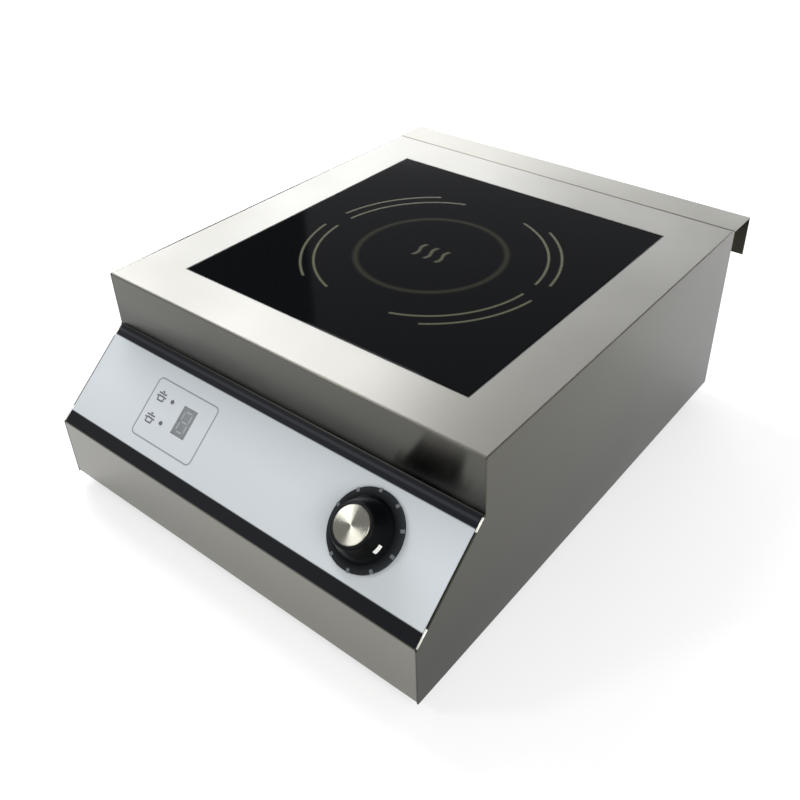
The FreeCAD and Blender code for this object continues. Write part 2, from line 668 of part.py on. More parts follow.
def make_side_panels():
    """The right side panel with its turned-in flanges, and its mirror image on the left."""
    plate = profile_plate(side_line(), INSIDE_X, WIDTH / 2)
    inner = side_line()
    foot = BOTTOM_Z + SHEET + BEND
    inner[0] = (BACK_Y, foot)
    inner[-1] = (FRONT_Y, foot)
    flange = folded_sheet(inner, INSIDE_X - SIDE_FLANGE, INSIDE_X, depth=SHEET)
    bottom = box(INSIDE_X - SIDE_FLANGE, INSIDE_X, FRONT_Y + FRONT_FLANGE + SEAM,
                 BACK_Y - REAR_FLANGE - SEAM, BOTTOM_Z, BOTTOM_Z + SHEET)
    panel = joined([plate, flange, bottom])
    holes = [screw_hole((x, y, BOTTOM_Z - SHEET), ALONG_Z) for x, y in side_screws() if x > 0]
    holes += [screw_hole(place, -ALONG_Y) for place in rear_screw_places() if place[0] > 0]
    right = cut_all(panel, holes)
    return {"right_side_panel": right, "left_side_panel": mirrored(right)}


def outlet_slots():
    """Rows of air outlet slots through the rear wall, in the shelter of the hood."""
    slots = []
    for row in range(OUTLET_ROWS):
        z = TOP_Z - OUTLET_TOP_GAP - row * VENT_PITCH
        for column in range(OUTLET_COLUMNS):
            x = (column - (OUTLET_COLUMNS - 1) / 2) * OUTLET_PITCH
            flat = slot(OUTLET_LENGTH, VENT_WIDTH, SHEET + 2 * OVERCUT, (0, 0, -OVERCUT))
            flat.Placement = FreeCAD.Placement(Vector(x, BACK_Y, z), Rotation(ALONG_X, 90))
            slots.append(flat)
    return slots


def make_rear_panel():
    """Rear wall and hood: the hood is as wide as the housing, the wall fits between the sides."""
    half = INSIDE_X - SEAM
    wall = folded_sheet(rear_line(), -half, half)
    hood_line = rear_line()[:3]
    hood_line[2] = (BACK_Y + SEAM, TOP_Z)
    hood = folded_sheet(hood_line, -WIDTH / 2, WIDTH / 2)
    gland_hole = cylinder(GLAND_THREAD_RADIUS + SCREW_CLEARANCE, SHEET + 2 * OVERCUT,
                          gland_point(BACK_Y - SHEET - OVERCUT), ALONG_Y)
    holes = [screw_hole(place, -ALONG_Y) for place in rear_screw_places()]
    holes += [screw_hole((x, y, BOTTOM_Z - SHEET), ALONG_Z) for x, y in flange_screws() if y > 0]
    return {"rear_panel": cut_all(joined([wall, hood]), outlet_slots() + holes + [gland_hole])}


def inlet_slots(x, y):
    """Parallel inlet slots that fill a circle under a fan."""
    rows = int(VENT_RADIUS / VENT_PITCH)
    slots = []
    for row in range(-rows, rows + 1):
        half = math.sqrt(VENT_RADIUS ** 2 - (row * VENT_PITCH) ** 2)
        centre = (x, y + row * VENT_PITCH, BOTTOM_Z - SHEET - OVERCUT)
        slots.append(slot(2 * half, VENT_WIDTH, SHEET + 2 * OVERCUT, centre))
    return slots


def make_base():
    """Base plate with inlet slots, the screws that hold it, and the four rubber feet."""
    x, y0, y1 = WIDTH / 2 - BASE_INSET, FRONT_Y + BASE_INSET, BACK_Y - BASE_INSET
    plate = box(-x, x, y0, y1, BOTTOM_Z - SHEET, BOTTOM_Z)
    tools = [screw_hole(place, ALONG_Z) for place in base_screw_places()]
    tools += [screw_hole((fx, fy, BOTTOM_Z - SHEET), ALONG_Z) for fx, fy in foot_places()]
    for place in fan_places().values():
        tools += inlet_slots(*place)
        tools += [screw_hole((sx, sy, BOTTOM_Z - SHEET), ALONG_Z) for sx, sy in fan_corners(*place)]
    feet, foot_screws = [], []
    for fx, fy in foot_places():
        cone = Part.makeCone(FOOT_RADIUS - FOOT_TAPER, FOOT_RADIUS, FOOT_HEIGHT, Vector(fx, fy, 0))
        well = cylinder(SCREW_HEAD_RADIUS + FOOT_WELL_GAP, FOOT_WELL, (fx, fy, 0))
        bore = cylinder(SCREW_RADIUS + SCREW_CLEARANCE, FOOT_HEIGHT, (fx, fy, 0))
        feet.append(cone.cut(well).cut(bore))
        foot_screws.append(screw((fx, fy, FOOT_WELL), ALONG_Z, FOOT_HEIGHT - FOOT_WELL + SCREW_LENGTH))
    return {
        "base_plate": cut_all(plate, tools),
        "base_screws": group([screw(place, ALONG_Z) for place in base_screw_places()]),
        "rear_screws": group([screw(place, -ALONG_Y) for place in rear_screw_places()]),
        "rubber_feet": group(feet),
        "foot_screws": group(foot_screws),
    }


# ================================================================ glass
def make_glass():
    """Glass plate, the silicone that beds it, and the frame welded under the deck that carries it."""
    half = GLASS / 2
    top = GLASS_BOTTOM + GLASS_THICKNESS
    plate = box(-half, half, GLASS_Y - half, GLASS_Y + half, GLASS_BOTTOM, top)
    top_edges = [edge for edge in plate.Edges if edge.BoundBox.ZMin > GLASS_BOTTOM + GLASS_THICKNESS / 2]
    plate = plate.makeChamfer(GLASS_EDGE, top_edges)
    bead = square_ring(CUTOUT, half, LEDGE_Z, TOP_Z - SEAL_RECESS, GLASS_Y)
    pad = square_ring(half, LEDGE_INNER, LEDGE_Z, GLASS_BOTTOM, GLASS_Y)
    ledge = square_ring(CUTOUT + SUPPORT_SHEET, LEDGE_INNER, LEDGE_Z - SUPPORT_SHEET, LEDGE_Z, GLASS_Y)
    web = square_ring(CUTOUT + SUPPORT_SHEET, CUTOUT, LEDGE_Z, TOP_Z - SHEET, GLASS_Y)
    z0, z1 = TOP_Z - SHEET - SUPPORT_SHEET, TOP_Z - SHEET
    flange = box(-SUPPORT_X, SUPPORT_X, GLASS_Y - SUPPORT_Y, GLASS_Y + SUPPORT_Y, z0, z1)
    flange = flange.cut(box(-CUTOUT, CUTOUT, GLASS_Y - CUTOUT, GLASS_Y + CUTOUT, z0, z1))
    return {
        "glass_plate": plate,
        "glass_seal": joined([bead, pad]),
        "glass_support_frame": joined([ledge, web, flange]),
    }


# ================================================================ coil
def spiral_edges(start_radius, side):
    """Edges of a flat spiral made of half circles about two centres half a pitch apart."""
    edges, points = [], []
    radius = start_radius
    for half_turn in range(2 * COIL_TURNS):
        centre = Vector(COIL_PITCH / 2 * (half_turn % 2), 0, 0)
        sign = 1 if half_turn % 2 == 0 else -1
        reach = radius + side
        start = centre + Vector(sign * reach, 0, 0)
        middle = centre + Vector(0, sign * reach, 0)
        end = centre + Vector(-sign * reach, 0, 0)
        edges.append(Part.Arc(start, middle, end).toShape())
        points += [start, end]
        radius += COIL_PITCH / 2
    return edges, points[0], points[-1]


def make_winding():
    """The litz winding: one flat strip wound in a spiral."""
    inner, inner_start, inner_end = spiral_edges(COIL_INNER_RADIUS, -COIL_WIRE / 2)
    outer, outer_start, outer_end = spiral_edges(COIL_INNER_RADIUS, COIL_WIRE / 2)
    ends = [Part.makeLine(inner_start, outer_start), Part.makeLine(inner_end, outer_end)]
    face = Part.Face(Part.Wire(Part.__sortEdges__(inner + outer + ends)))
    winding = face.extrude(Vector(0, 0, COIL_WIRE))
    winding.translate(Vector(-COIL_PITCH / 4, GLASS_Y, COIL_Z))
    return winding


def turned(shape, angle):
    """A copy of a piece turned about the coil's axis."""
    copy = shape.copy()
    copy.rotate(Vector(0, GLASS_Y, 0), ALONG_Z, angle)
    return copy


def strap_places():
    """Y places of the two straps that cross under the coil."""
    return [GLASS_Y + side * POST_PLACE for side in (-1, 1)]


def inner_lead_place():
    """Where the coil's inner end turns down, just inside the end of the winding."""
    return (COIL_INNER_RADIUS - COIL_PITCH / 4, GLASS_Y + COIL_LEAD_RADIUS)


def outer_lead_place():
    """Where the coil's outer end turns down."""
    return (COIL_RADIUS - COIL_PITCH / 4, GLASS_Y - COIL_LEAD_RADIUS)


def lead_hole(place, radius, z0, z1):
    """Hole for a lead through a flat piece."""
    return cylinder(radius + LEAD_HOLE_GAP, z1 - z0, (*place, z0))


def make_coil():
    """Coil on its disc under the mica, with ferrite bars, shield, posts, and straps to the frame."""
    centre = (0, GLASS_Y)
    mica = ring(COIL_DISC_RADIUS, MICA_HOLE_RADIUS, MICA, (*centre, MICA_Z))
    disc = ring(COIL_DISC_RADIUS, COIL_HUB_RADIUS, COIL_DISC, (*centre, COIL_DISC_Z))
    disc_holes = [lead_hole(place, COIL_LEAD_RADIUS, COIL_DISC_Z, COIL_Z)
                  for place in (inner_lead_place(), outer_lead_place())]
    bar = box(FERRITE_INNER, FERRITE_OUTER, GLASS_Y - FERRITE_WIDTH / 2, GLASS_Y + FERRITE_WIDTH / 2,
              FERRITE_Z, FERRITE_Z + FERRITE_THICKNESS)
    bars = [turned(bar, 360 / FERRITES * (i + 0.5)) for i in range(FERRITES)]
    shield = cylinder(SHIELD_RADIUS, SHIELD, (*centre, SHIELD_Z))
    shield_holes = [lead_hole(inner_lead_place(), COIL_LEAD_RADIUS, SHIELD_Z, SHIELD_Z + SHIELD),
                    lead_hole(centre, SIGNAL_LEAD_RADIUS, SHIELD_Z, SHIELD_Z + SHIELD)]
    posts = [cylinder(POST_RADIUS, POST_HEIGHT, (side * POST_PLACE, y, STRAP_Z + STRAP))
             for y in strap_places() for side in (-1, 1)]
    return {
        "mica_sheet": mica,
        "coil_winding": make_winding(),
        "coil_disc": cut_all(disc, disc_holes),
        "ferrite_bars": group(bars),
        "coil_shield": cut_all(shield, shield_holes),
        "coil_posts": group(posts),
        "coil_straps": group([make_strap(y) for y in strap_places()]),
    }


def make_strap(y):
    """A steel strap under the coil whose ends turn up to the ledge of the support frame."""
    reach = (LEDGE_INNER + CUTOUT) / 2
    top = LEDGE_Z - SUPPORT_SHEET
    y0, y1 = y - STRAP_WIDTH / 2, y + STRAP_WIDTH / 2
    pieces = [box(-reach, reach, y0, y1, STRAP_Z, STRAP_Z + STRAP)]
    for side in (-1, 1):
        near, far = sorted((side * reach, side * (reach - STRAP)))
        pieces.append(box(near, far, y0, y1, STRAP_Z, top))
        near, far = sorted((side * reach, side * (reach - STRAP - STRAP_TAB)))
        pieces.append(box(near, far, y0, y1, top - STRAP, top))
    return joined(pieces)


def make_sensor():
    """Sensor against the underside of the glass, and the spring that pushes it up."""
    sensor = cylinder(SENSOR_RADIUS, SENSOR_HEIGHT, (0, GLASS_Y, SENSOR_Z))
    rim = [edge for edge in sensor.Edges if edge.BoundBox.ZMin > GLASS_BOTTOM - SENSOR_EDGE]
    sensor = sensor.makeFillet(SENSOR_EDGE, rim)
    floor = SHIELD_Z + SHIELD
    height = SENSOR_Z - floor - SPRING_WIRE
    helix = Part.makeHelix(height / SPRING_TURNS, height, SPRING_RADIUS)
    start = Vector(SPRING_RADIUS, 0, 0)
    section = Part.Wire([Part.makeCircle(SPRING_WIRE / 2, start, ALONG_Y)])
    spring = Part.Wire(helix.Edges).makePipeShell([section], True, True)
    spring.translate(Vector(0, GLASS_Y, floor + SPRING_WIRE / 2))
    return {"temperature_sensor": sensor, "sensor_spring": spring}


# ================================================================ control panel
def display_corners():
    """Screw places of the display board, on the slope."""
    half_x = DISPLAY_BOARD_WIDTH / 2 - STUD_INSET
    half_y = DISPLAY_BOARD_HEIGHT / 2 - STUD_INSET
    return [(DISPLAY_BOARD_X + sx * half_x, CONTROL_LINE + sy * half_y) for sx in (-1, 1) for sy in (-1, 1)]


def display_screw_places():
    """Where the heads of the display board's screws meet the board, on the slope."""
    return [(x, y, DISPLAY_BACK) for x, y in display_corners()]


def make_display():
    """Overlay, window and lenses on the slope, and the display board on studs behind it."""
    half = INSIDE_X - SEAM - OVERLAY_END_GAP
    overlay = on_slope(box(-half, half, OVERLAY_MARGIN, SLOPE_LENGTH - OVERLAY_MARGIN, 0, OVERLAY))
    lenses = [cylinder(LENS_RADIUS, SHEET + OVERLAY + LENS_PROUD, (x, y, -SHEET)) for x, y in lens_places()]
    board = box(DISPLAY_LEFT_X, DISPLAY_RIGHT_X, CONTROL_LINE - DISPLAY_BOARD_HEIGHT / 2,
                CONTROL_LINE + DISPLAY_BOARD_HEIGHT / 2, DISPLAY_BACK, DIGIT_BACK)
    board_holes = [screw_hole(place, ALONG_Z) for place in display_screw_places()]
    studs = []
    for x, y in display_corners():
        stud = cylinder(STUD_RADIUS, DIGIT_DEPTH, (x, y, DIGIT_BACK))
        studs.append(stud.cut(cylinder(SCREW_RADIUS, SCREW_LENGTH - BOARD, (x, y, DIGIT_BACK))))
    leds = [cylinder(LED_RADIUS, DIGIT_DEPTH, (x, y, DIGIT_BACK)) for x, y in lens_places()]
    return {
        "control_overlay": cut_all(overlay, slope_openings(-OVERCUT, OVERLAY + OVERCUT)),
        "display_window": on_slope(window_cut(0, -SHEET, OVERLAY - WINDOW_RECESS)),
        "indicator_lenses": on_slope(group(lenses)),
        "display_board": on_slope(cut_all(board, board_holes)),
        "display_studs": on_slope(group(studs)),
        "digit_display": on_slope(window_cut(DIGIT_MARGIN, DIGIT_BACK, -SHEET)),
        "indicator_leds": on_slope(group(leds)),
    }


# ================================================================ knob and potentiometer
def turned_profile(points):
    """A solid of revolution about the slope's Z from (radius, height) points."""
    outline = [Vector(r, 0, z) for r, z in points + points[:1]]
    return Part.Face(Part.makePolygon(outline)).revolve(Vector(0, 0, 0), ALONG_Z, 360)


def at_knob(shape):
    """Moves a piece from the knob's own axis to the knob's place on the slope."""
    moved = shape.copy()
    moved.translate(Vector(KNOB_X, CONTROL_LINE, 0))
    return on_slope(moved)


def flat_bar(radius, grow, z0, z1):
    """A round bar whose flat is as deep as the shaft's, grown by a gap."""
    bar = cylinder(radius + grow, z1 - z0, (0, 0, z0))
    flat = radius - SHAFT_FLAT + grow
    return bar.common(box(-2 * radius, 2 * radius, -2 * radius, flat, z0, z1))


def pointer_bar():
    """A bar that reaches out through the grip's side, as wide, high and deep as the white mark."""
    taper = (GRIP_RADIUS - GRIP_TOP_RADIUS) / (KNOB_TOP - SKIRT_TOP)
    low = SKIRT_TOP + POINTER_RISE
    high = low + POINTER_HEIGHT
    inner = [GRIP_RADIUS - POINTER_DEPTH - taper * (z - SKIRT_TOP) for z in (low, high)]
    points = [(inner[0], low), (inner[1], high), (SKIRT_RADIUS, high), (SKIRT_RADIUS, low)]
    outline = [Vector(x, -POINTER_WIDTH / 2, z) for x, z in points + points[:1]]
    bar = Part.Face(Part.makePolygon(outline)).extrude(Vector(0, POINTER_WIDTH, 0))
    bar.rotate(Vector(0, 0, 0), ALONG_Z, POINTER_ANGLE)
    return bar


def knob_outside():
    """The knob's solid outer form, skirt and tapered grip with a rounded top."""
    form = turned_profile([
        (0, KNOB_BASE),
        (SKIRT_RADIUS, KNOB_BASE),
        (SKIRT_RADIUS, KNOB_BASE + SKIRT_EDGE),
        (GRIP_RADIUS, SKIRT_TOP),
        (GRIP_TOP_RADIUS, KNOB_TOP),
        (0, KNOB_TOP),
    ])
    rims = [edge for edge in form.Edges if edge.Curve.TypeId == "Part::GeomCircle"
            and edge.BoundBox.ZMin > KNOB_TOP - GRIP_ROUND]
    return form.makeFillet(GRIP_ROUND, rims)


def make_knob():
    """Hollow knob on the control's shaft, with its metal cap, white mark and grip spring."""
    outside = knob_outside()
    hollow = turned_profile([
        (KNOB_BOSS_RADIUS, BOSS_BASE),
        (0, BOSS_BASE),
        (0, KNOB_BASE),
        (GRIP_RADIUS - KNOB_WALL, KNOB_BASE),
        (GRIP_TOP_RADIUS - KNOB_WALL, KNOB_CEILING),
        (KNOB_BOSS_RADIUS, KNOB_CEILING),
    ])
    recess = cylinder(CAP_RADIUS + CAP_GAP, CAP_THICKNESS + OVERCUT, (0, 0, CAP_FLOOR))
    bore = flat_bar(SHAFT_RADIUS, KNOB_BORE_GAP, BOSS_BASE, KNOB_CEILING)
    flat = SHAFT_RADIUS - SHAFT_FLAT
    clip_space = box(-CLIP_WIDTH / 2, CLIP_WIDTH / 2, 0, flat + CLIP, BOSS_BASE, KNOB_CEILING)
    body = cut_all(outside, [hollow, recess, bore, clip_space, pointer_bar()])
    cap = cylinder(CAP_RADIUS, CAP_THICKNESS, (0, 0, CAP_FLOOR))
    cap_rim = [edge for edge in cap.Edges if edge.BoundBox.ZMin > CAP_FLOOR + CAP_THICKNESS / 2]
    clip = box(-CLIP_WIDTH / 2, CLIP_WIDTH / 2, flat, flat + CLIP, SHAFT_TOP - CLIP_LENGTH, SHAFT_TOP)
    return {
        "knob_body": at_knob(body),
        "knob_cap": at_knob(cap.makeChamfer(CAP_EDGE, cap_rim)),
        "knob_pointer": at_knob(pointer_bar().common(outside)),
        "knob_clip": at_knob(clip),
    }


def make_pot():
    """The rotary control behind the slope: body with its bush, collared shaft, washer and nut."""
    case = cylinder(POT_RADIUS, POT_DEPTH, (0, 0, POT_BACK))
    bush = cylinder(BUSH_RADIUS, BUSH_TOP + SHEET, (0, 0, -SHEET))
    collar_top = -SHEET - POT_FRONT
    collar_radius = SHAFT_RADIUS + COLLAR_WIDTH
    chamber = cylinder(collar_radius + COLLAR_GAP, COLLAR + 2 * COLLAR_GAP,
                       (0, 0, collar_top - COLLAR - 2 * COLLAR_GAP))
    journal = cylinder(SHAFT_RADIUS + SHAFT_CLEARANCE, BUSH_TOP - collar_top, (0, 0, collar_top))
    shaft_foot = collar_top - COLLAR_GAP - COLLAR
    shaft = cylinder(SHAFT_RADIUS, SHAFT_TOP - shaft_foot, (0, 0, shaft_foot))
    collar = cylinder(collar_radius, COLLAR, (0, 0, shaft_foot))
    flat = box(-SHAFT_RADIUS, SHAFT_RADIUS, SHAFT_RADIUS - SHAFT_FLAT, SHAFT_RADIUS, BOSS_BASE, SHAFT_TOP)
    nut = hexagon(NUT_ACROSS, NUT_HEIGHT, (0, 0, NUT_BASE))
    return {
        "pot_body": at_knob(cut_all(joined([case, bush]), [chamber, journal])),
        "pot_shaft": at_knob(joined([shaft, collar]).cut(flat)),
        "pot_washer": at_knob(ring(WASHER_RADIUS, BUSH_RADIUS, WASHER_THICKNESS, (0, 0, OVERLAY))),
        "pot_nut": at_knob(nut.cut(cylinder(BUSH_RADIUS, NUT_HEIGHT, (0, 0, NUT_BASE)))),
    }


# ================================================================ fans
def fan_corners(x, y):
    """Screw places of a fan frame."""
    half = FAN / 2 - FAN_HOLE_INSET
    return [(x + sx * half, y + sy * half) for sx in (-1, 1) for sy in (-1, 1)]


def fan_frame():
    """A square fan frame with its motor base on four struts and the sleeve that the rotor runs in."""
    half = FAN / 2
    frame = box(-half, half, -half, half, 0, FAN_DEPTH)
    uprights = [edge for edge in frame.Edges if edge.BoundBox.ZLength > FAN_DEPTH / 2]
    frame = frame.makeFillet(FAN_CORNER, uprights)
    frame = frame.cut(cylinder(FAN_BORE_RADIUS, FAN_DEPTH, (0, 0, 0)))
    strut = box(-half, half, -FAN_STRUT / 2, FAN_STRUT / 2, 0, FAN_MOTOR_HEIGHT)
    crossed = strut.copy()
    crossed.rotate(Vector(0, 0, 0), ALONG_Z, 90)
    motor = cylinder(FAN_HUB_RADIUS, FAN_MOTOR_HEIGHT, (0, 0, 0))
    sleeve = cylinder(FAN_SLEEVE_RADIUS, FAN_SLEEVE_TOP, (0, 0, 0))
    holes = [cylinder(SCREW_RADIUS, FAN_DEPTH, (*place, 0)) for place in fan_corners(0, 0)]
    holes.append(cylinder(FAN_PIN_RADIUS + FAN_PIN_CLEARANCE, FAN_SLEEVE_TOP, (0, 0, FAN_BEARING_FLOOR)))
    return cut_all(joined([frame, strut, crossed, motor, sleeve]), holes)


def blade_section(radius, pitch):
    """The four-cornered section of a blade at a radius."""
    along = Vector(0, math.cos(math.radians(pitch)), math.sin(math.radians(pitch)))
    across = Vector(0, -along.z, along.y)
    reach = (FAN_HUB_HEIGHT - FAN_BLADE) / 2 / along.z
    centre = Vector(radius, 0, FAN_ROTOR_BASE + FAN_HUB_HEIGHT / 2)
    corners = [centre + along * (a * reach) + across * (b * FAN_BLADE / 2)
               for a, b in ((-1, -1), (1, -1), (1, 1), (-1, 1))]
    return Part.makePolygon(corners + corners[:1])


def fan_rotor():
    """A cup hub on its pin, with blades that flatten towards their tips."""
    hub = cylinder(FAN_HUB_RADIUS, FAN_HUB_HEIGHT, (0, 0, FAN_ROTOR_BASE))
    inside = cylinder(FAN_HUB_RADIUS - FAN_HUB_WALL, FAN_HUB_HEIGHT - FAN_HUB_WALL, (0, 0, FAN_ROTOR_BASE))
    root, tip = FAN_HUB_RADIUS - FAN_HUB_WALL / 2, FAN_TIP_RADIUS + FAN_TIP_GAP
    sections = [blade_section(root, FAN_ROOT_PITCH), blade_section(tip, FAN_TIP_PITCH)]
    blade = Part.makeLoft(sections, True, True)
    blade = blade.common(ring(FAN_TIP_RADIUS, root, FAN_HUB_HEIGHT, (0, 0, FAN_ROTOR_BASE)))
    blades = []
    for i in range(FAN_BLADES):
        copy = blade.copy()
        copy.rotate(Vector(0, 0, 0), ALONG_Z, 360 / FAN_BLADES * i)
        blades.append(copy)
    pin_foot = FAN_MOTOR_HEIGHT
    pin = cylinder(FAN_PIN_RADIUS, FAN_ROTOR_TOP - pin_foot, (0, 0, pin_foot))
    return joined([hub.cut(inside), pin] + blades)


def make_fans():
    """The two fans over their inlet slots, and the screws that come up through the base."""
    frame, rotor = fan_frame(), fan_rotor()
    pieces, screws = {}, []
    for name, (x, y) in fan_places().items():
        place = Vector(x, y, BOTTOM_Z)
        for kind, shape in (("frame", frame), ("rotor", rotor)):
            copy = shape.copy()
            copy.translate(place)
            pieces[name + "_fan_" + kind] = copy
        screws += [screw((sx, sy, BOTTOM_Z - SHEET), ALONG_Z) for sx, sy in fan_corners(x, y)]
    pieces["fan_screws"] = group(screws)
    return pieces


# ================================================================ power board
def board_corners():
    """Screw places of the power board."""
    columns = (POWER_LEFT_X + STANDOFF_INSET, POWER_RIGHT_X - STANDOFF_INSET)
    rows = (POWER_FRONT_Y + STANDOFF_INSET, POWER_BACK_Y - STANDOFF_INSET)
    return [(x, y) for y in rows for x in columns]


def make_power_board():
    """Power board on standoffs, and the screws that hold it and the display board."""
    board = box(POWER_LEFT_X, POWER_RIGHT_X, POWER_FRONT_Y, POWER_BACK_Y, BOARD_Z, BOARD_TOP)
    heads = [(x, y, BOARD_TOP) for x, y in board_corners()]
    standoffs = []
    for x, y in board_corners():
        pillar = hexagon(STANDOFF_ACROSS, POWER_STANDOFF, (x, y, BOTTOM_Z))
        depth = SCREW_LENGTH - BOARD
        standoffs.append(pillar.cut(cylinder(SCREW_RADIUS, depth, (x, y, BOARD_Z - depth))))
    screws = [screw(head, -ALONG_Z) for head in heads]
    screws += [on_slope(screw(place, ALONG_Z)) for place in display_screw_places()]
    return {
        "power_board": cut_all(board, [screw_hole(head, -ALONG_Z, BOARD) for head in heads]),
        "board_standoffs": group(standoffs),
        "board_screws": group(screws),
    }


def sink_chip(width, x):
    """A flat power package under the heat sink, with three legs bent down to the board."""
    y0 = SINK_FRONT_Y + CHIP_INSET
    middle = SINK_Z - CHIP_THICKNESS / 2
    pieces = [box(x - width / 2, x + width / 2, y0, y0 + CHIP_DEPTH, SINK_Z - CHIP_THICKNESS, SINK_Z)]
    front = y0 - CHIP_LEG_REACH
    for i in (-1, 0, 1):
        left = x + i * width / 3 - CHIP_LEG / 2
        pieces.append(box(left, left + CHIP_LEG, front, y0, middle - CHIP_LEG, middle))
        pieces.append(box(left, left + CHIP_LEG, front, front + CHIP_LEG, BOARD_TOP, middle))
    return joined(pieces)


def make_heat_sink():
    """Finned heat sink on two feet, with the transistors and the rectifier clamped under it."""
    y0, y1 = SINK_FRONT_Y, SINK_FRONT_Y + SINK_DEPTH
    pieces = [box(SINK_LEFT_X, SINK_RIGHT_X, y0, y1, SINK_Z, SINK_Z + SINK_BASE)]
    for left in (SINK_LEFT_X, SINK_RIGHT_X - SINK_FOOT):
        pieces.append(box(left, left + SINK_FOOT, y0, y1, BOARD_TOP, SINK_Z))
    for i in range(SINK_FINS):
        left = SINK_LEFT_X + (SINK_WIDTH - SINK_FIN) * i / (SINK_FINS - 1)
        pieces.append(box(left, left + SINK_FIN, y0, y1, SINK_Z + SINK_BASE, SINK_Z + SINK_HEIGHT))
    first = SINK_LEFT_X + SINK_FOOT + CHIP_PITCH / 2
    last = first + (CHIPS - 1) * CHIP_PITCH
    return {
        "heat_sink": joined(pieces),
        "power_transistors": group([sink_chip(CHIP_WIDTH, first + i * CHIP_PITCH) for i in range(CHIPS)]),
        "rectifier_bridge": sink_chip(RECTIFIER_WIDTH, last + (CHIP_PITCH + RECTIFIER_WIDTH) / 2),
    }


def wound_core(x, y):
    """A toroid choke that lies flat on the board, wound with separate turns."""
    inner, base = CHOKE_RADIUS - CHOKE_WALL, BOARD_TOP + CHOKE_WIRE
    core = ring(CHOKE_RADIUS, inner, CHOKE_HEIGHT, (x, y, base))
    turns = []
    for i in range(CHOKE_TURNS):
        turn = box(x + inner - CHOKE_WIRE, x + CHOKE_RADIUS + CHOKE_WIRE, y - CHOKE_WIRE / 2,
                   y + CHOKE_WIRE / 2, BOARD_TOP, base + CHOKE_HEIGHT + CHOKE_WIRE)
        turn = turn.cut(core)
        turn.rotate(Vector(x, y, 0), ALONG_Z, 360 / CHOKE_TURNS * (i + 0.5))
        turns.append(turn)
    return group([core] + turns)


def capacitor(x):
    """A boxed film capacitor beside the heat sink."""
    block = box(x - CAPACITOR_WIDTH / 2, x + CAPACITOR_WIDTH / 2, SINK_FRONT_Y,
                SINK_FRONT_Y + CAPACITOR_DEPTH, BOARD_TOP, BOARD_TOP + CAPACITOR_HEIGHT)
    return block.makeFillet(CAPACITOR_EDGE, block.Edges)


def transformer(x, y):
    """The small transformer of the low-voltage supply: a bobbin with its core round it."""
    half, core = TRANSFORMER / 2, TRANSFORMER_CORE / 2
    bobbin = box(x - half, x + half, y - core, y + core, BOARD_TOP, BOARD_TOP + TRANSFORMER_HEIGHT)
    core = box(x - core, x + core, y - half, y + half, BOARD_TOP + TRANSFORMER_STEP,
               BOARD_TOP + TRANSFORMER_HEIGHT - TRANSFORMER_STEP)
    return joined([bobbin, core])


def make_board_parts():
    """Capacitors, choke, supply transformer, connectors and coil terminals on the power board."""
    middle = POWER_RIGHT_X - CAPACITOR_INSET
    steps = [(i - (CAPACITORS - 1) / 2) * CAPACITOR_PITCH for i in range(CAPACITORS)]
    blocks = [box(x - CONNECTOR_WIDTH / 2, x + CONNECTOR_WIDTH / 2, CONNECTOR_Y,
                  CONNECTOR_Y + CONNECTOR_DEPTH, BOARD_TOP, CONNECTOR_TOP) for x in CONNECTOR_X]
    blocks += [cylinder(CONNECTOR_WIDTH / 2, CONNECTOR_HEIGHT, (x, COIL_TERMINAL_Y, BOARD_TOP))
               for x in COIL_TERMINAL_X]
    blocks.append(box(INPUT_X - CONNECTOR_WIDTH / 2, INPUT_X + CONNECTOR_WIDTH / 2, TERMINAL_FRONT_Y,
                      TERMINAL_FRONT_Y + TERMINAL_LENGTH, BOARD_TOP, CONNECTOR_TOP))
    return {
        "film_capacitors": group([capacitor(middle + step) for step in steps]),
        "filter_choke": wound_core(CHOKE_X, WOUND_Y),
        "supply_transformer": transformer(TRANSFORMER_X, WOUND_Y),
        "board_connectors": group(blocks),
    }


# ================================================================ mains entry
def make_gland():
    """Cable gland through the rear wall: threaded body, locknut inside, seal and dome nut outside."""
    inside = BACK_Y - SHEET - GLAND_INSIDE
    nut_base = BACK_Y + GLAND_FLANGE
    body_end = nut_base + GLAND_BODY
    nut_end = nut_base + GLAND_NUT
    tube = cylinder(GLAND_THREAD_RADIUS, body_end - inside, gland_point(inside), ALONG_Y)
    flange = hexagon(GLAND_HEX, GLAND_FLANGE, gland_point(BACK_Y), ALONG_Y)
    bore = cylinder(GLAND_BORE_RADIUS, body_end - inside, gland_point(inside), ALONG_Y)
    seal = ring(GLAND_BORE_RADIUS, GLAND_SEAL_RADIUS, GLAND_SEAL_LENGTH,
                gland_point(body_end - GLAND_SEAL_LENGTH), ALONG_Y)
    locknut = hexagon(GLAND_HEX, GLAND_LOCKNUT, gland_point(BACK_Y - SHEET - GLAND_LOCKNUT), ALONG_Y)
    dome = hexagon(GLAND_HEX, GLAND_NUT, gland_point(nut_base), ALONG_Y)
    taper = Part.makeCone(GLAND_HEX / 2 + GLAND_NUT, GLAND_THREAD_RADIUS, GLAND_NUT,
                          Vector(*gland_point(nut_base)), ALONG_Y)
    mouth = cylinder(GLAND_BORE_RADIUS, nut_end - nut_base, gland_point(nut_base), ALONG_Y)
    thread = cylinder(GLAND_THREAD_RADIUS, body_end - nut_base, gland_point(nut_base), ALONG_Y)
    hole = cylinder(GLAND_THREAD_RADIUS, GLAND_LOCKNUT, gland_point(BACK_Y - SHEET - GLAND_LOCKNUT), ALONG_Y)
    return {
        "gland_body": joined([tube, flange]).cut(bore),
        "gland_locknut": locknut.cut(hole),
        "gland_seal": seal,
        "gland_nut": dome.common(taper).cut(mouth).cut(thread),
    }


def gland_point(y):
    """A point on the gland's axis."""
    return (GLAND_X, y, GLAND_Z)


